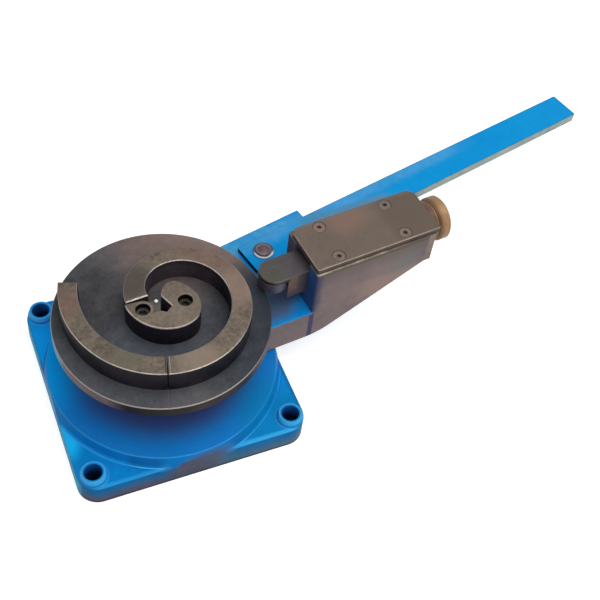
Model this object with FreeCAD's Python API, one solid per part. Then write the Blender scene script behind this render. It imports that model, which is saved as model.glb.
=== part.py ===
import FreeCAD, Part
import math
import os

# Scroll bender. Millimetres, +Z up, origin at the middle of the base's underside.
# X runs along the front edge of the base. The arm is drawn along +X and turned to arm_angle.

V = FreeCAD.Vector
UP = V(0, 0, 1)
ORIGIN = V(0, 0, 0)

# Clearances
running_fit = 0.05        # radial, between a turning or sliding piece and its bore
seat_fit = 0.02           # radial, between a pressed or threaded piece and its bore
face_gap = 0.1            # between faces that slide on each other
free_gap = 0.6            # between pieces that pass each other
bolt_clearance = 0.4      # radial, round a screw shank

# Base casting
base_side = 220.0
base_corner_radius = 20.0
base_edge_fillet = 3.0
platform_foot_fillet = 2.0
pad_top = 25.0
platform_top = 36.5
platform_radius = 109.5
platform_foot_spread = 3.1
boss_radius = 11.0
boss_height = 6.5
boss_taper = 2.0
bolt_spacing = 190.0
bolt_hole_radius = 8.5
base_wall = 14.0
base_cavity_depth = 14.0
base_hub_radius = 42.0
base_rib_thickness = 10.0
base_bolt_column_radius = 20.0
nut_recess_radius = 25.0
nut_recess_depth = 18.0

# Spindle, its nut and its dowel
journal_radius = 18.0
shank_radius = 12.0
shank_end = 1.5
flange_radius = 32.0
flange_thickness = 10.0
spigot_radius = 12.0
spigot_height = 9.0
spindle_washer_thickness = 3.5
spindle_washer_radius = 22.0
nut_across_flats = 36.0
nut_height = 12.0
nut_chamfer = 1.0
spindle_dowel_radius = 2.0
spindle_dowel_circle = 15.0
spindle_dowel_depth = 6.0

# Thrust washers
thrust_washer_thickness = 1.5
thrust_washer_radius = 34.0

# Former disc
disc_radius = 100.0
disc_thickness = 12.0
disc_chamfer = 0.8
index_line_width = 0.8
index_line_depth = 0.4

# Spiral ridge. Each face is a spiral about its own centre, turning clockwise from the -X side.
ridge_height = 24.0
outer_face_centre = V(12.0, 1.6, 0)
outer_face_start = 43.5
outer_face_growth = 5.79
outer_face_bend = 0.49
inner_face_centre = V(10.4, 4.3, 0)
inner_face_start = 19.05
inner_face_growth = 9.76
ridge_start_turn = 0.11
inner_face_start_turn = 0.20
ridge_joint_turn = 5.09
ridge_end_turn = 6.74
ridge_joint_gap = 0.8
core_joint_gap = 2.0
ridge_edge_chamfer = 0.7
segment_dowel_radius = 3.0
segment_dowel_reach = 6.0
segment_dowel_depth_in_ridge = 10.0

# Scroll core
core_left_end = -33.5
core_rim = (V(-30.0, -10.0, 0), V(-18.0, -25.5, 0), V(6.0, -34.0, 0), V(26.0, -26.5, 0), V(32.3, -9.0, 0),
            V(26.0, 9.0, 0), V(13.5, 17.7, 0), V(5.0, 13.0, 0))
lobe_foot = V(0.6, 3.8, 0)
notch_right = V(6.5, -9.0, 0)
notch_bottom = V(0.0, -14.4, 0)
notch_left = V(-5.0, -11.4, 0)
ledge_edge = V(-2.4, -3.0, 0)
ledge_tip = V(-1.2, 4.2, 0)
ledge_drop = 4.0
core_end_wall = 2.6
left_screw_spot = V(-19.3, -5.2, 0)
right_screw_spot = V(19.6, -6.8, 0)
core_screw_radius = 4.0
core_screw_head_radius = 6.5
core_screw_head_height = 8.0
core_screw_sink = 6.0
core_socket_radius = 3.4
core_socket_depth = 4.0
core_counterbore_clearance = 0.35
gauge_pin_radius = 1.8
gauge_pin_spot = V(-5.0, 1.7, 0)
gauge_pin_proud = 2.5
gauge_pin_depth = 12.0

# Arm casting, drawn along +X
arm_angle = 6.0
arm_underside = 38.0
arm_hub_radius = 46.0
arm_hub_boss_radius = 32.0
bush_wall = 4.0
ram_line = -7.2
housing_half_width = 29.5
housing_front = 139.5
housing_rear = 263.0
slope_start = 150.0
slope_blend = 60.0
shelf_thickness = 14.0
shelf_hub_radius = 61.6
shelf_edge_angle = 7.9
shelf_end = 190.5
casting_wall = 10.0
casting_fillet = 2.0

# Cover plate and its screws
cover_thickness = 6.0
cover_half_width = 28.0
cover_front_inset = 0.5
cover_rear_overhang = 12.5
cover_far_corner = 6.0
cover_corner = 1.2
cover_chamfer = 0.7
cover_screw_offset = 19.4
cover_screw_stations = (166.7, 239.8)
cover_screw_radius = 3.0
cover_screw_head_radius = 6.0
cover_screw_head_height = 3.6
cover_screw_sink = 0.4
cover_screw_length = 18.0
cover_socket_radius = 2.2

# End plate and its screws
end_plate_thickness = 7.5
end_plate_boss_radius = 15.0
end_plate_screw_margin = 6.0
end_plate_screw_radius = 3.0
end_plate_head_radius = 5.0
end_plate_head_height = 4.0
end_plate_screw_length = 24.0

# Ram, its nose roller and the roller's pin
ram_half_width = 14.0
ram_step = 146.0
ram_rear = 222.0
nose_station = 109.5
roller_radius = 14.0
cheek_thickness = 5.0
roller_seat_gap = 2.5
roller_lift = 1.5
roller_pin_radius = 5.0
roller_pin_head_radius = 8.0
roller_pin_head_height = 2.5
ram_chamfer = 0.8

# Heights of the ram, the disc and the arm, measured from the adjuster's axis
adjuster_height = 116.0
housing_rise = 16.0
ram_nose_rise = 6.5
ram_bed_drop = 22.6
disc_drop = 12.5
arm_floor_drop = 40.0

# Adjuster: screw, thrust collar and knob
adjuster_radius = 8.0
adjuster_tip = 172.0
adjuster_flange_radius = 12.5
adjuster_flange_thickness = 5.0
ram_bore_end = 160.0
collar_radius = 20.3
collar_thickness = 5.5
knob_gap = 2.2
knob_radius = 22.1
knob_thickness = 12.8
knob_chamfer = 2.0
knob_neck_radius = 19.4
knob_pin_radius = 2.0
collar_pin_radius = 1.5

# Handle: a thick bar butt-welded to a thinner tongue, its pivot pin and its washers
pivot_along = 129.5
pivot_beside = 47.5
handle_angle = 7.9
handle_width = 35.0
handle_thickness = 10.0
tongue_thickness = 5.0
tongue_end = 76.0
handle_heel = 19.0
handle_reach = 427.5
weld_gap = 0.05
handle_corner_radius = 1.5
handle_seat_gap = 0.3
pivot_radius = 7.0
pivot_head_radius = 7.9
pivot_head_height = 4.2
pivot_head_crown = 3.0
pivot_washer_radius = 10.3
pivot_washer_thickness = 1.8
pivot_tail = 4.0
circlip_thickness = 1.2
circlip_radius = 9.5

# Heights that follow
housing_top = adjuster_height + housing_rise
ram_bed = adjuster_height - ram_bed_drop
ram_underside = ram_bed + face_gap
ram_nose_top = adjuster_height + ram_nose_rise
slope_end_height = ram_bed
arm_floor = adjuster_height - arm_floor_drop
disc_top = adjuster_height - disc_drop
disc_underside = disc_top - disc_thickness
ridge_top = disc_top + ridge_height
flange_underside = disc_underside - flange_thickness
thrust_gap = arm_underside - platform_top
hub_boss_top = flange_underside - face_gap - thrust_washer_thickness - face_gap
ram_top = housing_top - face_gap
cheek_underside = ram_nose_top - cheek_thickness
end_plate_rear = housing_rear + end_plate_thickness
collar_front = housing_rear + cover_rear_overhang + free_gap
knob_front = collar_front + collar_thickness + knob_gap
knob_rear = knob_front + knob_thickness
bush_outer_radius = journal_radius + running_fit + bush_wall
near_face = ram_line - housing_half_width
far_face = ram_line + housing_half_width
handle_underside = arm_floor + handle_seat_gap
handle_top = handle_underside + tongue_thickness
pivot_spot = V(pivot_along, pivot_beside, 0)


def cylinder(radius, bottom, top, spot=ORIGIN):
    return Part.makeCylinder(radius, top - bottom, V(spot.x, spot.y, bottom), UP)


def rod(radius, start, end, spot_y, spot_z):
    return Part.makeCylinder(radius, end - start, V(start, spot_y, spot_z), V(1, 0, 0))


def block(x0, x1, y0, y1, z0, z1):
    return Part.makeBox(x1 - x0, y1 - y0, z1 - z0, V(x0, y0, z0))


def tube(outer, inner, bottom, top, spot=ORIGIN):
    return cylinder(outer, bottom, top, spot).cut(cylinder(inner, bottom - 1, top + 1, spot))


def prism(points, bottom, top):
    wire = Part.makePolygon([V(p[0], p[1], bottom) for p in points + points[:1]])
    return Part.Face(wire).extrude(V(0, 0, top - bottom))


def rounded_square(side, radius, bottom, top):
    body = block(-side / 2, side / 2, -side / 2, side / 2, bottom, top)
    corners = [e for e in body.Edges if abs(e.tangentAt(e.FirstParameter).z) > 0.99]
    return body.makeFillet(radius, corners)


def edges_at_height(shape, height):
    return [e for e in shape.Edges if all(abs(v.Z - height) < 1e-4 for v in e.Vertexes)
            and abs(e.BoundBox.ZMax - e.BoundBox.ZMin) < 1e-4]


def hexagon(across_flats, bottom, top, turn=0.0):
    corner = across_flats / 2 / math.cos(math.pi / 6)
    points = [(corner * math.cos(turn + k * math.pi / 3), corner * math.sin(turn + k * math.pi / 3))
              for k in range(6)]
    return prism(points, bottom, top)


def on_arm(shape):
    turned = shape.copy()
    turned.rotate(ORIGIN, UP, arm_angle)
    return turned


def save(name, *shapes):
    solid = shapes[0] if len(shapes) == 1 else Part.makeCompound(list(shapes))
    solid.exportStep("parts/" + name + ".step")


def corner_spots(spacing):
    half = spacing / 2
    return [V(x, y, 0) for x in (-half, half) for y in (-half, half)]


# ---------------------------------------------------------------- base

def base_plate():
    square = rounded_square(base_side, base_corner_radius, 0, pad_top)
    pads = square.makeFillet(base_edge_fillet, edges_at_height(square, pad_top))
    column = rounded_square(base_side, base_corner_radius, 0, platform_top)
    foot_radius = platform_radius + platform_foot_spread
    platform = Part.makeCone(foot_radius, platform_radius, platform_top - pad_top, V(0, 0, pad_top), UP)
    platform = platform.fuse(cylinder(foot_radius, base_cavity_depth, pad_top)).common(column)
    body = pads.fuse(platform)
    feet = [e for e in edges_at_height(body, pad_top) if is_platform_foot(e)]
    body = body.makeFillet(platform_foot_fillet, feet)
    for spot in corner_spots(bolt_spacing):
        foot = V(spot.x, spot.y, pad_top)
        boss = Part.makeCone(boss_radius + boss_taper, boss_radius, boss_height, foot, UP)
        body = body.fuse(boss)
    body = body.cut(base_cavity())
    for spot in corner_spots(bolt_spacing):
        body = body.cut(cylinder(bolt_hole_radius, -1, pad_top + boss_height + 1, spot))
    body = body.cut(cylinder(shank_radius + running_fit, -1, platform_top + 1))
    body = body.cut(cylinder(nut_recess_radius, -1, nut_recess_depth))
    body = body.cut(spindle_dowel(spindle_dowel_radius + seat_fit))
    return body.removeSplitter()


def is_platform_foot(edge):
    foot_radius = platform_radius + platform_foot_spread
    return isinstance(edge.Curve, Part.Circle) and abs(edge.Curve.Radius - foot_radius) < 1e-4


def base_cavity():
    inner_side = base_side - 2 * base_wall
    cavity = rounded_square(inner_side, base_corner_radius - base_wall / 2, -1, base_cavity_depth)
    cavity = cavity.cut(cylinder(base_hub_radius, -2, base_cavity_depth + 1))
    half = base_side / 2
    rib = base_rib_thickness / 2
    cavity = cavity.cut(block(-half, half, -rib, rib, -2, base_cavity_depth + 1))
    cavity = cavity.cut(block(-rib, rib, -half, half, -2, base_cavity_depth + 1))
    for spot in corner_spots(bolt_spacing):
        cavity = cavity.cut(cylinder(base_bolt_column_radius, -2, base_cavity_depth + 1, spot))
    return cavity


def spindle_dowel(radius):
    spot = V(0, -spindle_dowel_circle, 0)
    return cylinder(radius, platform_top - spindle_dowel_depth, platform_top + spindle_dowel_depth, spot)


def spindle():
    body = cylinder(shank_radius, shank_end, platform_top)
    body = body.fuse(cylinder(journal_radius, platform_top, flange_underside))
    body = body.fuse(cylinder(flange_radius, flange_underside, disc_underside))
    body = body.fuse(cylinder(spigot_radius, disc_underside, disc_underside + spigot_height))
    for spot in core_screw_spots():
        body = body.cut(cylinder(core_screw_radius + seat_fit, flange_underside - 1, disc_top, spot))
    body = body.cut(spindle_dowel(spindle_dowel_radius + seat_fit))
    return body.removeSplitter()


def spindle_washer():
    top = nut_recess_depth
    bore = shank_radius + bolt_clearance
    return tube(spindle_washer_radius, bore, top - spindle_washer_thickness, top)


def spindle_nut():
    top = nut_recess_depth - spindle_washer_thickness
    body = hexagon(nut_across_flats, top - nut_height, top)
    corner = nut_across_flats / 2 / math.cos(math.pi / 6)
    base = V(0, 0, top - nut_height)
    cone = Part.makeCone(nut_across_flats / 2 - nut_chamfer, corner + nut_height, nut_height, base, UP)
    body = body.common(cone)
    return body.cut(cylinder(shank_radius + seat_fit, top - nut_height - 1, top + 1))


def lower_thrust_washer():
    slack = (thrust_gap - thrust_washer_thickness) / 2
    low = platform_top + max(slack, 0)
    top = min(low + thrust_washer_thickness, arm_underside)
    return tube(thrust_washer_radius, journal_radius + bolt_clearance, low, top)


def upper_thrust_washer():
    top = flange_underside - face_gap
    bore = journal_radius + bolt_clearance
    return tube(arm_hub_boss_radius, bore, top - thrust_washer_thickness, top)


# ---------------------------------------------------------------- former disc and ridge

def former_disc():
    body = cylinder(disc_radius, disc_underside, disc_top)
    body = body.makeChamfer(disc_chamfer, [e for e in body.Edges if len(e.Vertexes) == 1])
    spigot_top = disc_underside + spigot_height + free_gap
    body = body.cut(cylinder(spigot_radius + running_fit, disc_underside - 1, spigot_top))
    for spot in core_screw_spots():
        body = body.cut(cylinder(core_screw_radius + bolt_clearance, disc_underside - 1, disc_top + 1, spot))
    for spot in inner_dowel_spots() + outer_dowel_spots():
        low = disc_top - segment_dowel_reach - free_gap
        body = body.cut(cylinder(segment_dowel_radius + running_fit, low, disc_top + 1, spot))
    return body.cut(index_line()).removeSplitter()


def index_line():
    start = outer_face(ridge_joint_turn)
    reach = start.Length
    half = index_line_width / 2
    groove = block(reach, disc_radius + 1, -half, half, disc_top - index_line_depth, disc_top + 1)
    groove.rotate(ORIGIN, UP, math.degrees(math.atan2(start.y, start.x)))
    return groove


def spiral_point(centre, radius, turn):
    return centre + V(-radius * math.cos(turn), radius * math.sin(turn), 0)


def outer_face(turn):
    radius = outer_face_start + outer_face_growth * turn + outer_face_bend * turn ** 2
    return spiral_point(outer_face_centre, radius, turn)


def inner_face(turn):
    return spiral_point(inner_face_centre, inner_face_start + inner_face_growth * turn, turn)


def face_curve(face, start, end, height):
    count = max(6, int(round((end - start) / 0.22)))
    points = []
    for k in range(count + 1):
        point = face(start + (end - start) * k / count)
        points.append(V(point.x, point.y, height))
    curve = Part.BSplineCurve()
    curve.interpolate(points)
    return curve.toShape()


def ridge_segment(start, end, inner_start=None):
    outside = face_curve(outer_face, start, end, disc_top)
    inside = face_curve(inner_face, inner_start or start, end, disc_top)
    first = Part.makeLine(inside.Vertexes[0].Point, outside.Vertexes[0].Point)
    last = Part.makeLine(inside.Vertexes[-1].Point, outside.Vertexes[-1].Point)
    outline = Part.Wire(Part.__sortEdges__([outside, last, inside, first]))
    body = Part.Face(outline).extrude(V(0, 0, ridge_height))
    return body.makeChamfer(ridge_edge_chamfer, edges_at_height(body, ridge_top))


def mid_ridge(turn):
    return (outer_face(turn) + inner_face(turn)) * 0.5


def joint_half_turn():
    return ridge_joint_gap / 2 / mid_ridge(ridge_joint_turn).Length


def inner_range():
    return ridge_start_turn, ridge_joint_turn - joint_half_turn()


def outer_range():
    return ridge_joint_turn + joint_half_turn(), ridge_end_turn


def dowel_spots(turns):
    start, end = turns
    inset = 0.16 * (end - start)
    return [mid_ridge(start + inset), mid_ridge(end - inset)]


def inner_dowel_spots():
    return dowel_spots(inner_range())


def outer_dowel_spots():
    return dowel_spots(outer_range())


def with_dowel_bores(segment, spots):
    for spot in spots:
        top = disc_top + segment_dowel_depth_in_ridge
        segment = segment.cut(cylinder(segment_dowel_radius + seat_fit, disc_top - 1, top, spot))
    return segment


def segment_dowels(spots):
    low = disc_top - segment_dowel_reach
    top = disc_top + segment_dowel_depth_in_ridge
    pins = []
    for spot in spots:
        pin = cylinder(segment_dowel_radius, low, top, spot)
        ends = edges_at_height(pin, low)
        pins.append(pin.makeChamfer(segment_dowel_radius / 4, ends))
    return pins


# ---------------------------------------------------------------- scroll core

def core_screw_spots():
    return [left_screw_spot, right_screw_spot]


def core_end_point(angle):
    radius = core_screw_head_radius + core_counterbore_clearance + core_end_wall
    turn = math.radians(angle)
    return left_screw_spot + V(radius * math.cos(turn), radius * math.sin(turn), 0)


def core_top():
    start = V(core_left_end, outer_face(ridge_start_turn).y - core_joint_gap, 0)
    rim = Part.BSplineCurve()
    rim.interpolate([start] + list(core_rim) + [lobe_foot])
    round_end = Part.Arc(core_end_point(-40), core_end_point(25), core_end_point(90))
    edges = [rim.toShape(), round_end.toShape(), Part.makeLine(core_end_point(90), start)]
    corners = [lobe_foot, notch_right, notch_bottom, notch_left, core_end_point(-40)]
    for a, b in zip(corners[:-1], corners[1:]):
        edges.append(Part.makeLine(a, b))
    face = Part.Face(Part.Wire(Part.__sortEdges__(edges)))
    face.translate(V(0, 0, disc_top))
    return face.extrude(V(0, 0, ridge_height))


def core_ledge():
    under_round_end = left_screw_spot + V(0, core_screw_head_radius, 0)
    under_top = notch_left + V(-ledge_drop, -ledge_drop, 0)
    back = V(inner_face(ridge_start_turn).x, ledge_tip.y, 0)
    outline = [left_screw_spot, under_round_end, back, ledge_tip, ledge_edge, notch_left, under_top]
    return prism([(p.x, p.y) for p in outline], disc_top, ridge_top - ledge_drop)


def scroll_core():
    body = core_top().fuse(core_ledge())
    head_seat = ridge_top - core_screw_sink - core_screw_head_height
    for spot in core_screw_spots():
        body = body.cut(cylinder(core_screw_radius + bolt_clearance, disc_top - 1, ridge_top, spot))
        bore = core_screw_head_radius + core_counterbore_clearance
        body = body.cut(cylinder(bore, head_seat, ridge_top + 1, spot))
    pin_seat = ridge_top - ledge_drop - gauge_pin_depth
    body = body.cut(cylinder(gauge_pin_radius + seat_fit, pin_seat, ridge_top + 1, gauge_pin_spot))
    return body.removeSplitter()


def core_screws():
    head_low = ridge_top - core_screw_sink - core_screw_head_height
    head_top = head_low + core_screw_head_height
    screws = []
    for spot in core_screw_spots():
        shank = cylinder(core_screw_radius, flange_underside + 1, head_low, spot)
        head = cylinder(core_screw_head_radius, head_low, head_top, spot)
        socket = hexagon(2 * core_socket_radius, head_top - core_socket_depth, head_top + 1)
        socket.translate(V(spot.x, spot.y, 0))
        screws.append(shank.fuse(head).cut(socket))
    return screws


def gauge_pin():
    ledge_top = ridge_top - ledge_drop
    pin = cylinder(gauge_pin_radius, ledge_top - gauge_pin_depth, ledge_top + gauge_pin_proud, gauge_pin_spot)
    return pin.makeChamfer(gauge_pin_radius / 4, edges_at_height(pin, ledge_top + gauge_pin_proud))


# ---------------------------------------------------------------- arm

def side_profile(low_offset, y0, y1):
    slope = math.atan2(slope_end_height - arm_underside, housing_rear - slope_start)
    setback = slope_blend * math.tan(slope / 2)
    z0 = arm_underside + low_offset
    begin = V(slope_start - setback, y0, z0)
    end = V(slope_start + setback * math.cos(slope), y0, z0 + setback * math.sin(slope))
    middle = V(begin.x + slope_blend * math.sin(slope / 2), y0, z0 + slope_blend * (1 - math.cos(slope / 2)))
    rear_low = V(housing_rear, y0, slope_end_height + low_offset)
    rear_top = V(housing_rear, y0, housing_top)
    front_top = V(housing_front, y0, housing_top)
    front_low = V(housing_front, y0, arm_floor)
    hub_top = V(0, y0, arm_floor)
    hub_low = V(0, y0, z0)
    edges = [Part.makeLine(hub_low, begin), Part.Arc(begin, middle, end).toShape()]
    path = [end, rear_low, rear_top, front_top, front_low, hub_top, hub_low]
    for a, b in zip(path[:-1], path[1:]):
        edges.append(Part.makeLine(a, b))
    body = Part.Face(Part.Wire(Part.__sortEdges__(edges))).extrude(V(0, y1 - y0, 0))
    return body.makeFillet(casting_fillet, [e for e in body.Edges if is_outer_corner(e.BoundBox, y0)])


def is_outer_corner(box, near):
    along_side = box.YLength < 1e-6 and box.XMax > arm_hub_radius
    under_top = box.ZMin < housing_top - 1
    before_end_plate = box.XMin < housing_rear - 1
    floor_joins_shelf = box.ZMax - arm_floor < 1e-6 < box.ZMin - arm_floor + 2e-6 and box.YMin > near + 1
    return along_side and under_top and before_end_plate and not floor_joins_shelf


def shelf():
    slope = math.radians(shelf_edge_angle)
    touch = V(-shelf_hub_radius * math.sin(slope), shelf_hub_radius * math.cos(slope), 0)
    run = (shelf_end - touch.x) / math.cos(slope)
    far_corner = touch + V(run * math.cos(slope), run * math.sin(slope), 0)
    end_run = (far_corner.y - ram_line) / math.cos(math.radians(handle_angle))
    near_corner = V(far_corner.x + end_run * math.sin(math.radians(handle_angle)), ram_line, 0)
    low = arm_floor - shelf_thickness
    outline = [(p.x, p.y) for p in (touch, far_corner, near_corner, V(0, ram_line, 0))]
    plate = prism(outline, low, arm_floor)
    outside = [e for e in plate.Edges if e.CenterOfMass.y > far_face and e.CenterOfMass.x > arm_hub_radius]
    plate = plate.makeFillet(casting_fillet, outside)
    return plate.fuse(cylinder(shelf_hub_radius, low, arm_floor))


def shelf_rib():
    low = arm_floor - shelf_thickness
    half = casting_wall / 2
    side = pivot_spot.y + pivot_washer_radius
    foot = V(0, far_face, arm_underside + casting_wall / 2)
    triangle = Part.makePolygon([V(0, far_face, low), V(0, side, low), foot, V(0, far_face, low)])
    rib = Part.Face(triangle).extrude(V(casting_wall, 0, 0))
    rib.translate(V(pivot_spot.x - 3 * pivot_radius - half, 0, 0))
    return rib


def casting_pockets():
    y0 = near_face + casting_wall
    y1 = far_face - casting_wall
    hub_side = arm_hub_radius + casting_wall / 2
    front = block(hub_side, housing_front, y0, y1, 0, arm_floor - shelf_thickness)
    slope = (slope_end_height - arm_underside) / (housing_rear - slope_start)
    bed_low = ram_bed - casting_wall
    reach = slope_start + (bed_low - arm_underside) / slope
    rear = block(housing_front + casting_wall, reach, y0, y1, 0, bed_low)
    return front.fuse(rear)


def arm_casting():
    body = side_profile(0, near_face, far_face)
    body = body.fuse(shelf())
    body = body.fuse(shelf_rib())
    body = body.fuse(cylinder(arm_hub_radius, arm_underside, arm_floor))
    body = body.fuse(cylinder(arm_hub_boss_radius, arm_floor, hub_boss_top))
    body = body.removeSplitter()
    body = body.cut(casting_pockets())
    y0 = ram_line - ram_half_width - running_fit
    y1 = ram_line + ram_half_width + running_fit
    body = body.cut(block(housing_front - 1, housing_rear + 1, y0, y1, ram_bed, housing_top + 1))
    body = body.cut(cylinder(bush_outer_radius + seat_fit, arm_underside - 1, hub_boss_top + 1))
    for spot in cover_screw_spots():
        bottom = housing_top + cover_thickness - cover_screw_sink - cover_screw_length - free_gap
        body = body.cut(cylinder(cover_screw_radius + seat_fit, bottom, housing_top + 1, spot))
    for y, z in end_plate_screw_places():
        start = end_plate_rear - end_plate_screw_length - free_gap
        body = body.cut(rod(end_plate_screw_radius + seat_fit, start, housing_rear + 1, y, z))
    pin_bore = cylinder(pivot_radius + seat_fit, 0, arm_floor + 1, pivot_spot)
    return body.cut(pin_bore).removeSplitter()


def arm_bush():
    return tube(bush_outer_radius, journal_radius + running_fit, arm_underside, hub_boss_top)


# ---------------------------------------------------------------- cover and end plate

def cover_screw_spots():
    return [V(x, ram_line + side * cover_screw_offset, 0) for x in cover_screw_stations for side in (-1, 1)]


def cover_plate():
    x0 = housing_front + cover_front_inset
    x1 = housing_rear + cover_rear_overhang
    y0 = ram_line - cover_half_width
    y1 = ram_line + cover_half_width
    far = cover_far_corner
    cut = cover_corner
    outline = [(x0 + cut, y0), (x1 - cut, y0), (x1, y0 + cut), (x1, y1 - far), (x1 - far, y1),
               (x0 + far, y1), (x0, y1 - far), (x0, y0 + cut)]
    top = housing_top + cover_thickness
    body = prism(outline, housing_top, top)
    body = body.makeChamfer(cover_chamfer, edges_at_height(body, top))
    for spot in cover_screw_spots():
        body = body.cut(cylinder(cover_screw_radius + bolt_clearance, housing_top - 1, top + 1, spot))
        body = body.cut(countersink(spot, top - cover_screw_sink, seat_fit))
        rim = cover_screw_head_radius + bolt_clearance
        body = body.cut(cylinder(rim, top - cover_screw_sink, top + 1, spot))
    return body


def countersink(spot, top, clearance):
    low_radius = cover_screw_radius + clearance
    high_radius = cover_screw_head_radius + clearance
    low = top - cover_screw_head_height
    return Part.makeCone(low_radius, high_radius, cover_screw_head_height, V(spot.x, spot.y, low), UP)


def cover_screws():
    top = housing_top + cover_thickness - cover_screw_sink
    screws = []
    for spot in cover_screw_spots():
        low = top - cover_screw_head_height
        shank = cylinder(cover_screw_radius, top - cover_screw_length, low + face_gap, spot)
        socket = hexagon(2 * cover_socket_radius, low + face_gap, top + 1)
        socket.translate(V(spot.x, spot.y, 0))
        screws.append(shank.fuse(countersink(spot, top, 0)).cut(socket))
    return screws


def end_plate_screw_places():
    offset = (housing_half_width + ram_half_width) / 2
    heights = (ram_bed + 2 * end_plate_screw_margin, housing_top - end_plate_screw_margin)
    return [(ram_line + side * offset, z) for side in (-1, 1) for z in heights]


def end_plate():
    body = block(housing_rear, end_plate_rear, near_face, far_face, slope_end_height, housing_top)
    uprights = [e for e in body.Edges if abs(e.tangentAt(e.FirstParameter).x) > 0.99]
    body = body.makeChamfer(casting_fillet, [e for e in uprights if e.CenterOfMass.z < adjuster_height])
    boss_rear = collar_front - face_gap
    body = body.fuse(rod(end_plate_boss_radius, end_plate_rear - 1, boss_rear, ram_line, adjuster_height))
    bore = adjuster_radius + running_fit
    body = body.cut(rod(bore, housing_rear - 1, boss_rear + 1, ram_line, adjuster_height))
    for y, z in end_plate_screw_places():
        hole = end_plate_screw_radius + bolt_clearance
        body = body.cut(rod(hole, housing_rear - 1, end_plate_rear + 1, y, z))
        head_seat = end_plate_rear - end_plate_head_height
        body = body.cut(rod(end_plate_head_radius + seat_fit, head_seat, end_plate_rear + 10, y, z))
    return body.removeSplitter()


def end_plate_screws():
    head_seat = end_plate_rear - end_plate_head_height
    screws = []
    for y, z in end_plate_screw_places():
        shank = rod(end_plate_screw_radius, end_plate_rear - end_plate_screw_length, head_seat, y, z)
        head = rod(end_plate_head_radius, head_seat, end_plate_rear, y, z)
        socket_floor = end_plate_rear - end_plate_head_height / 2
        socket = rod(end_plate_head_radius / 2, socket_floor, end_plate_rear + 1, y, z)
        screws.append(shank.fuse(head).cut(socket))
    return screws


# ---------------------------------------------------------------- ram and roller

def ram_body():
    y0 = ram_line - ram_half_width
    y1 = ram_line + ram_half_width
    nose = V(nose_station, ram_line, 0)
    body = block(ram_step, ram_rear, y0, y1, ram_underside, ram_top)
    body = body.fuse(block(nose_station, ram_step, y0, y1, ram_underside, ram_nose_top))
    body = body.cut(cylinder(roller_radius + roller_seat_gap, ram_underside - 1, cheek_underside, nose))
    cheek = cylinder(ram_half_width, cheek_underside, ram_nose_top, nose)
    body = body.fuse(cheek).removeSplitter()
    body = body.cut(cylinder(roller_pin_radius + seat_fit, cheek_underside - 1, ram_nose_top + 1, nose))
    bore = rod(adjuster_radius + running_fit, ram_bore_end, ram_rear + 1, ram_line, adjuster_height)
    return body.cut(bore)


def roller_range():
    return disc_top + roller_lift, cheek_underside - 4 * face_gap


def ram_roller():
    low, top = roller_range()
    nose = V(nose_station, ram_line, 0)
    body = cylinder(roller_radius, low, top, nose)
    body = body.makeChamfer(ram_chamfer, [e for e in body.Edges if len(e.Vertexes) == 1])
    body = body.cut(cylinder(roller_pin_radius + running_fit, low - 1, top + 1, nose))
    counterbore = roller_pin_head_radius + bolt_clearance
    return body.cut(cylinder(counterbore, low - 1, low + roller_pin_head_height + 2 * face_gap, nose))


def roller_pin():
    low, top = roller_range()
    nose = V(nose_station, ram_line, 0)
    head = cylinder(roller_pin_head_radius, low, low + roller_pin_head_height, nose)
    return head.fuse(cylinder(roller_pin_radius, low, ram_nose_top, nose)).removeSplitter()


# ---------------------------------------------------------------- adjuster

def adjuster_screw():
    inner_face_x = housing_rear - face_gap
    body = rod(adjuster_radius, adjuster_tip, knob_rear, ram_line, adjuster_height)
    flange_front = inner_face_x - adjuster_flange_thickness
    body = body.fuse(rod(adjuster_flange_radius, flange_front, inner_face_x, ram_line, adjuster_height))
    body = body.cut(cross_bore(knob_pin_radius, knob_pin_station(), knob_radius))
    return body.cut(cross_bore(collar_pin_radius, collar_pin_station(), collar_radius)).removeSplitter()


def cross_bore(radius, station, reach):
    low = V(station, ram_line, adjuster_height - reach - 1)
    return Part.makeCylinder(radius + seat_fit, reach + 1 + pin_top() + free_gap, low, UP)


def pin_top():
    return adjuster_radius + 2 * collar_pin_radius


def knob_pin_station():
    return knob_front + knob_thickness / 2


def collar_pin_station():
    return collar_front + collar_thickness / 2


def thrust_collar():
    rear = collar_front + collar_thickness
    body = rod(collar_radius, collar_front, rear, ram_line, adjuster_height)
    body = body.makeChamfer(ram_chamfer, [e for e in body.Edges if len(e.Vertexes) == 1])
    body = body.cut(rod(adjuster_radius + seat_fit, collar_front - 1, rear + 1, ram_line, adjuster_height))
    return body.cut(cross_bore(collar_pin_radius, collar_pin_station(), collar_radius))


def adjuster_knob():
    body = rod(knob_radius, knob_front, knob_rear, ram_line, adjuster_height)
    body = body.makeChamfer(knob_chamfer, [e for e in body.Edges if len(e.Vertexes) == 1])
    neck_front = collar_front + collar_thickness + face_gap
    body = body.fuse(rod(knob_neck_radius, neck_front, knob_front + 1, ram_line, adjuster_height))
    body = body.cut(rod(adjuster_radius + seat_fit, neck_front - 1, knob_rear + 1, ram_line, adjuster_height))
    return body.cut(cross_bore(knob_pin_radius, knob_pin_station(), knob_radius)).removeSplitter()


def cross_pin(radius, station, reach):
    low = V(station, ram_line, adjuster_height - reach)
    return Part.makeCylinder(radius, reach + pin_top(), low, UP)


# ---------------------------------------------------------------- handle and pivot

def on_pivot(body):
    body.rotate(ORIGIN, UP, handle_angle)
    body.translate(pivot_spot)
    return body


def flat_bar(start, end, low, rounded_end):
    half = handle_width / 2
    body = block(start, end, -half, half, low, handle_top)
    corners = [e for e in body.Edges if abs(e.tangentAt(e.FirstParameter).z) > 0.99
               and abs(e.CenterOfMass.x - rounded_end) < 1e-4]
    return body.makeFillet(handle_corner_radius, corners)


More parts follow.
